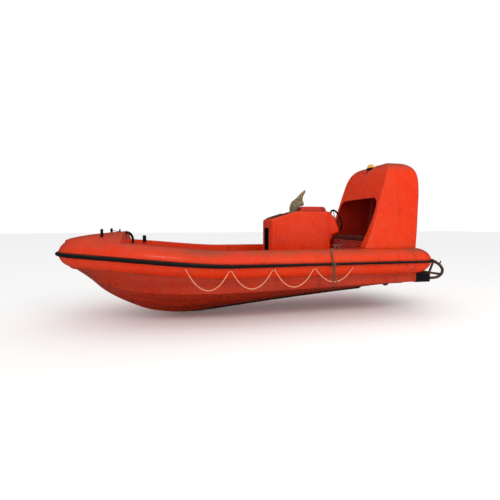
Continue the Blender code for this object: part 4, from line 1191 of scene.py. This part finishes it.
def make_deck_fittings():
    bm = bmesh.new()
    for side in SIDES:
        foot = deck_height(POST_X, side * POST_Y) - 0.01
        turned(bm, mm((0, 0), (30, 0), (31, 3), (29, 9), (23.5, 14), (22, 22), (21.5, 100),
            (22, 118), (20.5, 125), (16, 129), (0, 131)), (POST_X, side * POST_Y, foot))
    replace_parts(finish_piece("mooring_posts", bm, STEEL), "mooring_post_port",
        "mooring_post_starboard")
    bm = bmesh.new()
    turned(bm, mm((0, 0), (50, 0), (52, 4), (48, 10), (36, 14), (30.5, 22), (30, 30), (30, 535),
        (30.5, 540)), (TOW_POST_X, 0, SOLE_Z), material=1)
    turned(bm, mm((0, 0), (31, 0), (31.5, 3), (30.5, 100), (31.8, 106), (31.5, 112), (29, 118),
        (22, 122), (0, 124)), (TOW_POST_X, 0, SOLE_Z + 0.531))
    rod(bm, (TOW_POST_X, -0.075, 0.9), (TOW_POST_X, 0.075, 0.9), 0.011)
    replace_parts(finish_piece("tow_bollard", bm, [STEEL, DARK_RED]), "tow_post")
    bm = bmesh.new()
    foot = BULKHEAD_X + HAIRLINE
    path = [(foot, 0, 1.005), (foot + 0.008, 0, 1.005)]
    for step in range(25):
        angle = radians(90 - 7.5 * step)
        path.append((foot + 0.015 + 0.095 * cos(angle), 0, 0.865 + 0.14 * sin(angle)))
    path += [(foot + 0.008, 0, 0.725), (foot, 0, 0.725)]
    skin(bm, path_rings(path, 0.021, 20))
    for z in (1, 0.728):
        turned(bm, mm((0, 0), (40, 0), (42, 2), (40, 7), (27, 11), (21.5, 16)),
            (foot - 0.001, 0, z), (1, 0, 0), 28)
    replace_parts(finish_piece("bow_towing_hoop", bm, STEEL), "bow_hoop")
    bm = bmesh.new()
    top = deck_height(POST_X, POST_Y) + 0.085
    eye = Vector((-2.15, 0, deck_height(-2.15, 0) + 0.018))
    bar(bm, smooth_path([(-2.345, 0.445, top), (-2.26, 0.26, top - 0.012),
        (-2.19, 0.1, top - 0.012), tuple(eye)], 0.03), 0.0055, 10)
    turned(bm, mm((0, -22), (22, -22), (23, -18), (11, -12), (8, -2), (12, 4), (16, 12), (12, 21),
        (0, 25)), eye, sides=20)
    finish_piece("deck_stay", bm, STEEL)


# Helm console

CONSOLE_HALF = 0.31
CONSOLE_TOP_Z = 1.384
CONSOLE_OUTLINE = [
    (0.47, SOLE_Z + HAIRLINE, 0, 0.05), (1.635, SOLE_Z + HAIRLINE, 0, 0.045),
    (1.635, 0.925, 0.03, 0.045), (1.83, 1, 0.05, 0.045), (1.72, 1.275, 0.06, 0.045),
    (1.605, CONSOLE_TOP_Z, 0.05, 0.045), (0.965, CONSOLE_TOP_Z, 0.12, 0.045),
    (0.47, 1.232, 0.06, 0.05),
]


def make_console():
    body = bmesh.new()
    rounded_body(body, CONSOLE_OUTLINE, CONSOLE_HALF)
    slot = bmesh.new()
    corners = round_corners([(-0.13, 0.42), (0.13, 0.42), (0.13, 1.07), (-0.13, 1.07)],
        [0.035] * 4, 6)
    # The slot's walls take the black grip rubber, as painted shade inside the niche.
    skin(slot, [[Vector((x, y * s, z)) for y, z in corners] for x, s in
                ((0.4, 1), (0.6, 1), (0.78, 0.96))], material=1)
    mesh = cut_mesh("console_moulding", body, [slot], [ORANGE, GRIP])
    console = to_piece("console_moulding", mesh, [ORANGE], sharp=40)
    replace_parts(console, "console_shell")
    bm = bmesh.new()
    path = [Vector((0.4715, y * 1.04, 0.745 + (z - 0.745) * 1.015)) for y, z in corners]
    skin(bm, path_rings(path + path[:1], 0.007, 10), caps=(False, False))
    finish_piece("console_slot_lip", bm, RUBBER)
    bm = bmesh.new()
    for sign in SIDES:
        outline = [(0.56, 0.42), (1.52, 0.42), (1.52, 0.84), (1.416, 0.93), (1.275, 1.19),
                   (1.225, 1.252), (0.56, 1.165)]
        radii = [0.06, 0.06, 0.05, 0.12, 0.08, 0.04, 0.05]
        rings = []
        for inset, proud in ((0, -0.003), (0, 0.0005), (0.003, 0.005), (0.009, 0.009),
                             (0.02, 0.0105)):
            placed = inset_corners(outline, [inset] * 7)
            rounds = [max(r - inset, 0.004) for r in radii]
            rings.append([Vector((x, sign * (CONSOLE_HALF + proud), z))
                          for x, z in round_corners(placed, rounds, 6)])
        skin(bm, rings)
    finish_piece("console_side_panels", bm, ORANGE, sharp=50)
    bm = bmesh.new()
    for sign in SIDES:
        y = sign * 0.17
        path = [(x, y, 1.232 + 0.307 * (x - 0.47) + rise) for x, rise in
                ((0.52, 0), (0.516, 0.009), (0.535, 0.0135), (0.66, 0.0135), (0.79, 0.0135),
                 (0.811, 0.009), (0.815, 0))]
        bar(bm, smooth_path(path, 0.02), 0.007, 14)
        for x in (0.52, 0.815):
            turned(bm, mm((0, -2), (15, -2), (16, 2), (12, 5), (9, 8)),
                (x, y, 1.233 + 0.307 * (x - 0.47)), (-0.293, 0, 0.956), 20)
    finish_piece("console_hand_rails", bm, STEEL)
    bm = bmesh.new()
    block(bm, (0.462, -0.318, SOLE_Z), (1.643, 0.318, SOLE_Z + 0.016), 0.007)
    finish_piece("console_foot_flange", bm, ORANGE)
    screws("console_foot_screws", [((0.56 + 0.165 * k, sign * 0.3185, SOLE_Z + 0.009),
        (0, sign, 0)) for k in range(7) for sign in SIDES], 0.005)


def make_pod():
    bm = bmesh.new()
    foot = CONSOLE_TOP_Z + HAIRLINE
    outline = [(1.035, foot, 0, 0.03), (1.583, foot, 0, 0.03), (1.553, 1.455, 0.02, 0.03),
               (1.505, 1.475, 0.02, 0.03), (1.112, 1.475, 0.03, 0.03)]
    rounded_body(bm, outline, 0.235)
    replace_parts(finish_piece("instrument_binnacle", bm, DARK_RED, sharp=45), "instrument_pod")
    lean = Vector((0.9205, 0, 0.3906)).normalized()
    rims = bmesh.new()
    faces = bmesh.new()
    for y, radius in ((-0.15, 0.031), (-0.065, 0.031), (0.065, 0.031), (0.15, 0.031)):
        base = Vector((1.568, y, 1.4197)) - lean * 0.004
        turned(rims, [(radius - 0.004, 0.008), (radius - 0.002, 0.0115), (radius, 0.012),
                      (radius + 0.002, 0.009), (radius + 0.002, 0)], base, lean, 32)
        turned(faces, [(0, 0), (radius - 0.001, 0), (radius - 0.002, 0.0085),
                       (0, 0.0092)], base, lean, 32)
        for k in range(9):
            angle = radians(225 - 270 * k / 8)
            up = Vector((0, 1, 0)).cross(lean)
            spot = base + lean * 0.0094 + (Vector((0, 1, 0)) * cos(angle) - up *
                sin(angle)) * (radius - 0.009)
            block(rims, spot - Vector((0.0012,) * 3), spot + Vector((0.0012,) * 3), 0.0004, 1)
    finish_piece("gauge_rims", rims, STAINLESS)
    finish_piece("gauge_faces", faces, GRIP)
    bm = bmesh.new()
    slope = Matrix.Rotation(radians(43.5), 3, "Y")
    block(bm, (1.614, -0.2, 1.3265), (1.714, 0.2, 1.3365), 0.004, 3, turn=slope)
    for k in range(8):
        y = -0.161 + 0.046 * k
        block(bm, (1.655, y - 0.008, 1.33), (1.682, y + 0.008, 1.342), 0.003, 2, turn=slope,
              material=1)
    finish_piece("switch_panel", bm, [GRIP, DARK_RED])
    bm = bmesh.new()
    block(bm, (1.3, 0.2353, foot), (1.42, 0.264, 1.46), 0.007)
    bar(bm, [(1.36, 0.262, 1.43), (1.36, 0.27, 1.43), (1.36, 0.279, 1.43)], 0.017)
    bar(bm, smooth_path([(1.36, 0.274, 1.43), (1.395, 0.274, 1.452), (1.43, 0.274, 1.474)], 0.02),
        0.006, 10)
    turned(bm, mm((0, -20), (10, -18), (13.5, -8), (14.5, 0), (13.5, 8), (10, 18), (0, 20)),
        (1.437, 0.272, 1.478), (0, 1, 0), 20)
    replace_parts(finish_piece("throttle_lever", bm, STEEL), "throttle_box")


WHEEL_CENTRE = Vector((1.885, 0, 1.225))
WHEEL_AXIS = Vector((0.940881, 0, 0.338738)).normalized()


def make_wheel():
    side = Vector((0, 1, 0))
    up = side.cross(WHEEL_AXIS).normalized()
    bm = bmesh.new()
    rings = []
    for k in range(72):
        angle = tau * k / 72
        out = side * cos(angle) + up * sin(angle)
        grip = 0.0176 + 0.0010 * cos(angle * 24)
        rings.append([WHEEL_CENTRE + out * (0.205 + grip * cos(t)) + WHEEL_AXIS * grip * sin(t)
                      for t in (tau * j / 14 for j in range(14))])
    rings.append(rings[0])
    skin(bm, rings, caps=(False, False))
    rim = finish_piece("wheel_rim", bm, GRIP, "helm")
    bm = bmesh.new()
    out0 = -up
    for number in range(3):
        angle = tau * number / 3
        start = out0 * cos(angle) + side * sin(angle)
        across = WHEEL_AXIS.cross(start)
        rings = []
        for reach, wide, deep, back in ((0.03, 0.02, 0.006, -0.012), (0.06, 0.0165, 0.005, -0.01),
                (0.11, 0.0135, 0.0045, -0.006), (0.16, 0.0125, 0.0045, -0.002),
                (0.198, 0.014, 0.006, 0)):
            centre = WHEEL_CENTRE + start * reach + WHEEL_AXIS * back
            rings.append([centre + across * wide * cos(t) + WHEEL_AXIS * deep * sin(t)
                          for t in (tau * j / 14 for j in range(14))])
        skin(bm, rings)
    turned(bm, mm((0, -30), (40, -30), (42, -26), (42, -4), (38, 4), (26, 10), (24, 12.5),
        (0, 14)), WHEEL_CENTRE, WHEEL_AXIS, 36)
    hub = finish_piece("wheel_spokes", bm, STAINLESS, "helm")
    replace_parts(rim, "steering_wheel")
    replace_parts(hub, "steering_wheel")
    bm = bmesh.new()
    foot = WHEEL_CENTRE - WHEEL_AXIS * 0.128
    profile = [(0, -0.02), (0.062, -0.02), (0.062, 0.006), (0.058, 0.01), (0.046, 0.013)]
    for k in range(6):
        z = 0.018 + 0.0125 * k
        profile += [(0.0345, z), (0.0395, z + 0.004), (0.0345, z + 0.008)]
    profile += [(0.03, 0.094), (0.03, 0.097), (0, 0.0972)]
    turned(bm, profile, foot, WHEEL_AXIS, 32)
    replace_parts(finish_piece("column_boot", bm, GRIP), "steering_column")


def make_cover():
    """Canvas pulled over the console lamp, tied at its foot, with its peak fallen aft."""
    # height, fore X, aft X, half-width, depth of the folds
    levels = [
        (1.335, 0.876, 1.016, 0.106, 0.14), (1.385, 0.884, 1.018, 0.096, 0.12),
        (1.41, 0.897, 1.012, 0.075, 0.1), (1.44, 0.889, 1.038, 0.086, 0.07),
        (1.474, 0.896, 1.078, 0.09, 0.04), (1.488, 0.899, 1.14, 0.089, 0.03),
        (1.51, 0.906, 1.166, 0.084, 0.06), (1.56, 0.93, 1.16, 0.07, 0.08),
        (1.6, 0.975, 1.141, 0.056, 0.09), (1.64, 1.024, 1.143, 0.046, 0.1),
        (1.7, 1.082, 1.17, 0.036, 0.11), (1.755, 1.138, 1.197, 0.022, 0.12),
        (1.776, 1.168, 1.199, 0.012, 0.1), (1.784, 1.18, 1.196, 0.006, 0.05),
    ]
    side = -0.10
    sides = 72
    rings = []
    steps = 72
    for step in range(steps + 1):
        z = 1.335 + 0.449 * step / steps
        fore, aft, wide, fold = smooth_table(levels, z)
        ring = []
        for k in range(sides):
            angle = tau * k / sides
            wave = (cos(9 * angle + 7 * z) + 0.6 * cos(5 * angle - 11 * z + 1.3)
                    + 0.35 * cos(14 * angle + 23 * z))
            pull = 1 + 0.35 * fold * wave
            ring.append(Vector(((fore + aft) / 2 + (aft - fore) / 2 * pull * cos(angle),
                side + wide * pull * sin(angle), z)))
        rings.append(ring)
    bm = bmesh.new()
    layer = bm.loops.layers.uv.new("cloth_map")
    loops = skin(bm, rings, caps=(False, True))
    spot = {vert: (k, row) for row, loop in enumerate(loops) for k, vert in enumerate(loop)}
    for face in bm.faces:
        turns = [spot[corner.vert][0] for corner in face.loops]
        wrap = max(turns) - min(turns) > sides / 2
        for corner in face.loops:
            k, row = spot[corner.vert]
            if wrap and k == 0:
                k = sides
            corner[layer].uv = (k / sides * 0.55, row / steps * 0.46)
    area = sum(face.calc_area() for face in bm.faces)
    cover = to_piece("lamp_canvas", mesh_of("lamp_canvas", bm, weld=False), [CANVAS], sharp=80)
    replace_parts(cover, "lamp_cover")
    turns = [tau * k / 48 for k in range(49)]
    tie = [Vector((0.9545 + 0.0615 * cos(turn), side + 0.079 * sin(turn),
        1.41 + 0.004 * sin(turn))) for turn in turns]
    lashing, _ = rope_piece("cover_lashing", tie, 0.0045, MOORING_ROPE, 10, True)


# Stern shelter

HOOD_WALL = 0.022
HOOD_BASE_Z = 0.7203
ROOF_Z = 2.295
# height, front X, aft X, half-width
HOOD_LINES = [
    (0.72, 2.046, 3.075, 0.86), (1.1, 2.196, 3.12, 0.822), (1.48, 2.313, 3.15, 0.79),
    (1.74, 2.389, 3.168, 0.77), (1.95, 2.455, 3.16, 0.755), (2.05, 2.49, 3.145, 0.735),
    (2.14, 2.527, 3.12, 0.695), (2.2, 2.562, 3.085, 0.645), (2.25, 2.605, 3.03, 0.575),
    (2.28, 2.65, 2.975, 0.49), (ROOF_Z, 2.72, 2.9, 0.4),
]
DOORWAY = [(0.67, 0.6), (0.67, 0.8), (0.7, 1.05), (0.72, 1.3), (0.72, 1.46), (0.703, 1.53),
           (0.66, 1.59), (0.59, 1.628), (0.5, 1.64), (0, 1.645)]


def hood_rings(inset=0.0, foot=HOOD_BASE_Z):
    """Plan sections of the shelter, from its foot to the crown of its roof."""
    heights = [HOOD_BASE_Z] + [0.76 + 0.08 * k for k in range(15)]
    heights += [1.95, 2, 2.05, 2.08, 2.11, 2.14, 2.17, 2.2, 2.225, 2.25, 2.265, 2.28, ROOF_Z]
    rings = []
    for height in heights:
        front, aft, half = smooth_table(HOOD_LINES, height)
        lowered = inset * clamped((height - 1.95) / (ROOF_Z - 1.95))
        corners = [(front + inset, half - inset), (aft - inset, half - inset),
                   (aft - inset, -half + inset), (front + inset, -half + inset)]
        radii = [max(r - inset, 0.012) for r in (0.035, 0.08, 0.08, 0.035)]
        rings.append([Vector((x, y, height - lowered)) for x, y in round_corners(corners, radii,
            8)])
    if foot < HOOD_BASE_Z:
        rings.insert(0, [Vector((p.x, p.y, foot)) for p in rings[0]])
    centre = Vector((2.81, 0, rings[-1][0].z))
    top = rings[-1]
    for share, rise in ((0.8, 0.0035), (0.55, 0.006), (0.28, 0.0075), (0.1, 0.008)):
        rings.append([centre + (p - centre) * share + Vector((0, 0, rise)) for p in top])
    return rings


def make_hood():
    outer = bmesh.new()
    skin(outer, hood_rings())
    room = bmesh.new()
    skin(room, hood_rings(HOOD_WALL, 0.42), material=1)
    door = bmesh.new()
    edge = DOORWAY + [(-y, z) for y, z in DOORWAY[-2::-1]]
    path = smooth_path([(0, y, z) for y, z in edge], 0.045)
    skin(door, [[Vector((x, p.y, p.z)) for p in path] for x in (1.9, 2.62)])
    mesh = cut_mesh("shelter_moulding", outer, [room, door], [ORANGE, DARK_RED])
    hood = to_piece("shelter_moulding", mesh, [ORANGE], sharp=38)
    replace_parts(hood, "hood_shell")
    bm = bmesh.new()
    lip = [Vector((smooth_table(HOOD_LINES, p.z)[0] + 0.006, p.y, p.z)) for p in path
           if p.z > HOOD_BASE_Z + 0.006]
    skin(bm, path_rings(lip, 0.0115, 14))
    seam = []
    for sign, order in ((PORT, range(40)), (STARBOARD, range(39, -1, -1))):
        for k in order:
            z = 0.735 + 1.49 * k / 39
            front, _, half = smooth_table(HOOD_LINES, z)
            seam.append(Vector((front + 0.002, sign * (half - 0.036), z)))
    skin(bm, path_rings(seam, 0.0055, 10))
    finish_piece("doorway_lip", bm, ORANGE, sharp=60)
    bm = bmesh.new()
    base = hood_rings()[0]
    skin(bm, [[(p.x + copysign(out, p.x - 2.6), p.y + copysign(out, p.y), z) for p in base]
        for out, z in ((0, 0.7205), (0.0035, 0.7215), (0.0045, 0.726), (0.0035, 0.738),
        (0, 0.741))])
    inside = bmesh.new()
    skin(inside, [[Vector((2.6 + (p.x - 2.6) * 0.985, p.y * 0.985, z)) for p in base]
                  for z in (0.7, 0.76)])
    front = bmesh.new()
    block(front, (1.9, -0.668, 0.7), (2.4, 0.668, 0.78), 0)
    mesh = cut_mesh("shelter_foot_flange", bm, [inside, front], [ORANGE])
    to_piece("shelter_foot_flange", mesh, [ORANGE], sharp=50)
    screws("shelter_foot_screws", [((2.14 + 0.118 * k, sign * 0.8645, 0.731), (0, sign, 0.05))
        for k in range(8) for sign in SIDES], 0.0055, finish=ORANGE)


def make_hood_lamp():
    """Amber lamp in a black rubber foot that fills the curve of the roof's front."""
    bm = bmesh.new()
    block(bm, (2.567, -0.088, 2.19), (2.655, 0.088, 2.264), 0.012, 4)
    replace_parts(finish_piece("lamp_gasket", bm, RUBBER), "lamp_foot")
    bm = bmesh.new()
    levels = [(0, 1), (0.004, 1), (0.006, 0.94), (0.02, 0.94), (0.036, 0.9), (0.048, 0.83),
              (0.058, 0.7), (0.064, 0.52), (0.067, 0.26), (0.068, 0.04)]
    outline = round_corners([(2.567, -0.079), (2.655, -0.079), (2.655, 0.079), (2.567, 0.079)],
        [0.026] * 4, 8)
    skin(bm, [[Vector((2.611 + (x - 2.611) * s, y * s, 2.263 + z)) for x, y in outline]
              for z, s in levels])
    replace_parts(finish_piece("lamp_dome", bm, AMBER, sharp=30), "lamp_lens")
    bm = bmesh.new()
    turned(bm, mm((0, -4), (16, -4), (18, 0), (16, 4), (11, 5), (10, -2), (0, -2)),
        (2.538, 0, 2.166), (-0.85, 0, 0.52), 24)
    turned(bm, mm((0, -4), (12, -4), (14, 0), (12, 6), (6, 9), (0, 9.5)), (2.545, 0.16, 2.18),
        (-0.85, 0, 0.52), 20)
    turned(bm, mm((0, -10), (15, -10), (16, 4), (6, 10), (4, 16), (4, 24), (0, 25)),
        (2.76, 0, 2.3), (0, 0, 1), 20)
    finish_piece("roof_fittings", bm, RUBBER)


def make_engine_box():
    bm = bmesh.new()
    block(bm, (2.16, -0.72, SOLE_Z + HAIRLINE), (2.9, 0.72, 0.8), 0.012, 3)
    shell = bmesh.new()
    block(shell, (2.18, -0.7, 0.2), (2.88, 0.7, 0.9), 0)
    mesh = cut_mesh("engine_box_moulding", bm, [shell], [DARK_RED])
    box = to_piece("engine_box_moulding", mesh, [DARK_RED], sharp=40)
    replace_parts(box, "engine_box")
    bm = bmesh.new()
    for y0, y1 in ((-0.62, -0.03), (0.03, 0.62)):
        block(bm, (2.153, y0, 0.4), (2.166, y1, 0.72), 0.006, 4)
        for k in range(5):
            z = 0.50 + 0.028 * k
            block(bm, (2.146, y0 + 0.14, z), (2.158, y1 - 0.14, z + 0.012), 0.004, 3)
    finish_piece("engine_box_panels", bm, DARK_RED)
    bm = bmesh.new()
    for y in (-0.36, 0.36):
        block(bm, (2.144, y - 0.022, 0.735), (2.162, y + 0.022, 0.792), 0.004, 2)
        bar(bm, [(2.143, y - 0.016, 0.752), (2.132, y - 0.016, 0.752), (2.132, y, 0.752),
                 (2.132, y + 0.016, 0.752), (2.143, y + 0.016, 0.752)], 0.0035, 10)
    for y in (-0.5, 0, 0.5):
        rod(bm, (2.8965, y - 0.04, 0.7985), (2.8965, y + 0.04, 0.7985), 0.0045, 14)
    finish_piece("engine_box_latches", bm, STAINLESS)
    bm = bmesh.new()
    block(bm, (2.16, -0.72, LID_Z), (2.89, 0.72, 0.8303), 0.01, 4)
    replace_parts(finish_piece("engine_lid_moulding", bm, DARK_RED, "lid"), "engine_lid")
    adopt("engine_block", ENGINE)
    bm = bmesh.new()
    for y in (-0.13, 0.13):
        block(bm, (2.26, y - 0.085, 0.715), (2.8, y + 0.085, 0.765), 0.022, 4)
    for k in range(4):
        bar(bm, smooth_path([(2.32 + 0.14 * k, -0.21, 0.742), (2.32 + 0.14 * k, -0.27, 0.735),
            (2.32 + 0.14 * k, -0.312, 0.66), (2.32 + 0.14 * k, -0.318, 0.54)], 0.02), 0.017, 14)
    turned(bm, mm((0, -2), (55, -2), (60, 4), (60, 18), (50, 24), (0, 26)), (2.53, 0, 0.722),
        sides=28)
    finish_piece("engine_top", bm, ENGINE)


def bake_modifiers(item):
    """Keep a piece's evaluated mesh and drop its modifiers."""
    mesh = evaluated_mesh(item)
    item.modifiers.clear()
    old = item.data
    item.data = mesh
    bpy.data.meshes.remove(old)


def make_seat_pad():
    """Long seat pad: swollen cover with sewn channels, piping and stitches."""
    low = Vector((2.172, -0.708, 0.8306))
    high = Vector((2.838, 0.708, 0.916))
    bm = bmesh.new()
    block(bm, low + Vector((0.006, 0.006, 0)), high - Vector((0.006, 0.006, 0.01)), 0.028, 4)
    pad = put("seat_cushion", mesh_of("seat_cushion", bm, weld=False))
    remesh = pad.modifiers.new("even", "REMESH")
    remesh.mode = "VOXEL"
    remesh.voxel_size = 0.012
    bake_modifiers(pad)
    rest = [v.co.copy() for v in pad.data.vertices]
    cloth = pad.modifiers.new("swell", "CLOTH")
    cloth.settings.use_pressure = True
    cloth.settings.uniform_pressure_force = 4.0
    cloth.settings.effector_weights.gravity = 0.0
    for number in range(1, 21):
        bpy.context.scene.frame_set(number)
    bake_modifiers(pad)
    bpy.context.scene.frame_set(1)
    for vert, start in zip(pad.data.vertices, rest):
        moved = vert.co - start
        if moved.length > 0.009:
            moved *= 0.009 / moved.length
        vert.co = start + moved
    subdivide = pad.modifiers.new("finer", "SUBSURF")
    subdivide.levels = subdivide.render_levels = 1
    bake_modifiers(pad)
    middle = (low + high) / 2
    half = (high - low) / 2
    for vert in pad.data.vertices:
        share_x = abs(vert.co.x - middle.x) / half.x
        share_y = abs(vert.co.y - middle.y) / half.y
        if vert.co.z > middle.z:
            crown = max(1 - share_x**3, 0) * max(1 - share_y**6, 0)
            vert.co.z += 0.010 * crown
            for line in (-0.354, 0, 0.354):
                away = abs(vert.co.y - line)
                vert.co.z -= 0.012 * exp(-(away / 0.011)**2) * max(1 - share_x**8, 0)
        else:
            vert.co.z = max(vert.co.z, low.z)
    top = max(v.co.z for v in pad.data.vertices)
    if top > high.z + 0.006:
        for vert in pad.data.vertices:
            if vert.co.z > middle.z:
                vert.co.z -= (top - high.z - 0.006) * (vert.co.z - middle.z) / (top - middle.z)
    mesh = pad.data
    bpy.data.objects.remove(pad, do_unlink=True)
    cushion = to_piece("seat_cushion", mesh, [SEAT], "lid", sharp=80)
    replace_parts(cushion, "seat_pad")
    bm = bmesh.new()
    corners = round_corners([(low.x + 0.004, low.y + 0.004), (high.x - 0.004, low.y + 0.004),
        (high.x - 0.004, high.y - 0.004), (low.x + 0.004, high.y - 0.004)], [0.032] * 4, 8)
    loop = [Vector((x, y, 0.894)) for x, y in corners]
    skin(bm, path_rings(loop + loop[:1], 0.0052, 10), caps=(False, False))
    finish_piece("seat_piping", bm, SEAT, "lid", 80)
    inner = Vector((middle.x, middle.y, 0.8985))
    rows = [Vector((x, y, 0.8985)) for x, y in corners]
    grown("seat_stitches", [p + (inner - p).normalized() * 0.012 for p in rows], STITCHES,
          {"Spacing": 0.011, "Length": 0.007, "Thread": 0.0011}, SEAT, "lid", closed=True,
          line=True)


# Crown and stern fittings


def make_cleats():
    bm = bmesh.new()
    crown = FENDER_Z + COLLAR_HALF
    places = []
    for sign in SIDES:
        y = sign * 0.845
        block(bm, (1.415, y - 0.021, crown), (1.585, y + 0.021, crown + 0.008), 0.003, 2)
        for x in (1.465, 1.535):
            turned(bm, mm((0, 0), (19, 0), (16, 10), (11.5, 22), (11.5, 40), (14, 52), (0, 55)),
                (x, y, crown + 0.004), sides=20)
            places.append(((x + (0.03 if x > 1.5 else -0.03), y, crown + 0.009), (0, 0, 1)))
        horn = smooth_path([(1.405, y, crown + 0.068), (1.44, y, crown + 0.064),
            (1.5, y, crown + 0.06), (1.56, y, crown + 0.064), (1.595, y, crown + 0.068)], 0.012)
        last = len(horn) - 1
        radii = [0.0055 + 0.0075 * sin(pi * k / last) ** 0.6 for k in range(last + 1)]
        skin(bm, path_rings(horn, radii, 16))
    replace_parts(finish_piece("horn_cleats", bm, STAINLESS), "cleat_port", "cleat_starboard")
    screws("cleat_screws", places, 0.005)


def make_transom():
    adopt("transom_board", ORANGE)
    bm = bmesh.new()
    rod(bm, (2.9955, -0.79, 0.31), (2.9955, 0.79, 0.31), 0.006, 10)
    for y0, y1 in ((-0.7, -0.06), (0.06, 0.7)):
        block(bm, (2.986, y0, 0.36), (2.996, y1, 0.6), 0.004, 3)
        for k in range(6):
            z = 0.395 + 0.030 * k
            block(bm, (2.99, y0 + 0.05, z), (3.003, y1 - 0.05, z + 0.013), 0.005, 3,
                  turn=Matrix.Rotation(0.12, 3, "Y"))
    finish_piece("transom_louvres", bm, ORANGE)


def make_jet():
    """Bolted rings, ribs and grease points on the jet, its nozzle and its bucket."""
    for node in ("jet_housing", "jet_nozzle"):
        adopt(node, ALLOY)
    adopt("jet_bucket", STEEL)
    bm = bmesh.new()
    turned(bm, mm((148, 0.3), (176, 0.3), (178, 3), (178, 13), (175, 17), (152, 18), (147, 24),
        (143, 24)), (TRANSOM_X, 0, JET_Z), (1, 0, 0), 56)
    turned(bm, mm((100.5, -30), (110, -30), (112, -27), (112, -6), (110, -3), (100.5, -3)),
        (3.255, 0, JET_Z), (1, 0, 0), 48)
    finish_piece("jet_rings", bm, ALLOY)
    angles = [tau * (k + 0.5) / 12 for k in range(12)]
    screws("jet_flange_bolts", [((TRANSOM_X + 0.018, 0.164 * cos(a), JET_Z + 0.164 * sin(a)),
        (1, 0, 0)) for a in angles], 0.0075)
    bm = bmesh.new()
    turned(bm, mm((84, -14), (88.5, -12), (89.5, -6), (88.5, 0), (72, 0.8), (70.5, -4)),
        (3.465, 0, JET_Z), (1, 0, 0), 44)
    for side in SIDES:
        for x in (3.42, 3.44):
            turned(bm, mm((0, -10), (6, -10), (6, 4), (3.5, 6), (0, 6.5)),
                (x, side * 0.062, JET_Z + 0.062), (0, side * 0.7, 0.7), 12)
    finish_piece("nozzle_outlet_ring", bm, ALLOY, "nozzle")
    bm = bmesh.new()
    for side in SIDES:
        y = side * 0.1272
        turned(bm, mm((0, -2), (24, -2), (25, 1), (22, 5), (12, 7), (10, 10), (0, 11)),
            (NOZZLE_PIVOT_X, y, JET_Z), (0, side, 0), 24)
    finish_piece("bucket_pivots", bm, STEEL, "bucket")


def make_stern_steps():
    bm = bmesh.new()
    starts = []
    for sign in SIDES:
        low, high = sorted((0.45 * sign, 0.93 * sign))
        block(bm, (TRANSOM_X + HAIRLINE, low, 0.1), (3.31, high, 0.254), 0.016, 4)
        block(bm, (TRANSOM_X + 0.03, low + 0.03, 0.25), (3.28, high - 0.03, 0.2572), 0.003, 2)
        starts.append(Vector((3.156, low + 0.0525, 0.2585)))
    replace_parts(finish_piece("stern_step_blocks", bm, RUBBER), "stern_step_port",
        "stern_step_starboard")
    grown("stern_step_treads", starts, RIBS,
          {"Count": 16, "Pitch": 0.025, "Length": 0.235, "Width": 0.011, "Height": 0.005}, GRIP)
    screws("stern_step_bolts", [((3.3105, sign * y, z), (1, 0, 0)) for sign in SIDES
        for y in (0.52, 0.69, 0.86) for z in (0.135, 0.22)], 0.007, finish=STEEL)


def make_guard():
    path = [(TRANSOM_X + HAIRLINE, 0.5), (3.2, 0.5), (3.36, 0.497), (3.48, 0.475), (3.59, 0.425),
            (3.68, 0.36), (3.725, 0.29), (3.715, 0.225), (3.66, 0.168), (3.57, 0.142),
            (3.45, 0.138), (3.3103, 0.138)]
    bm = bmesh.new()
    for sign in SIDES:
        y = sign * 0.74
        skin(bm, path_rings(smooth_path([(x, y, z) for x, z in path], 0.02), 0.026, 20))
        for x, z in ((TRANSOM_X, 0.5), (3.31, 0.138)):
            turned(bm, mm((0, 0.3), (48, 0.3), (50, 3), (49, 8), (31, 11), (25.5, 18), (24.2, 22)),
                (x, y, z), (1, 0, 0), 28)
        rod(bm, (3.52, y, 0.455), (3.4, y, 0.15), 0.021, 16)
        rod(bm, (3.395, y, 0.245), (3.69, y, 0.205), 0.021, 16)
        bar(bm, [(3.655, y, 0.385), (3.672, y, 0.425), (3.683, y, 0.455)], 0.012, 12)
    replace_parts(finish_piece("stern_guard_hoops", bm, RUSTY), "guard_hoop_port",
        "guard_hoop_starboard")
    bm = bmesh.new()
    for x, z in ((3.59, 0.425), (3.69, 0.195)):
        rod(bm, (x, -0.722, z), (x, 0.722, z), 0.02)
        for sign in SIDES:
            turned(bm, mm((19.5, -16), (22.5, -8), (26.5, 4), (22, 10), (0, 12)),
                (x, sign * 0.716, z), (0, sign, 0), 20)
    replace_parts(finish_piece("stern_guard_bars", bm, RUSTY), "guard_bar_upper", "guard_bar_lower")


make_camera()
make_ropes()
make_stage()
make_beckets()
make_collar()
make_fender()
make_hull()
make_sole()
make_foredeck()
make_deck_fittings()
make_console()
make_pod()
make_wheel()
make_cover()
make_hood()
make_hood_lamp()
make_engine_box()
make_seat_pad()
make_cleats()
make_transom()
make_jet()
make_stern_steps()
make_guard()
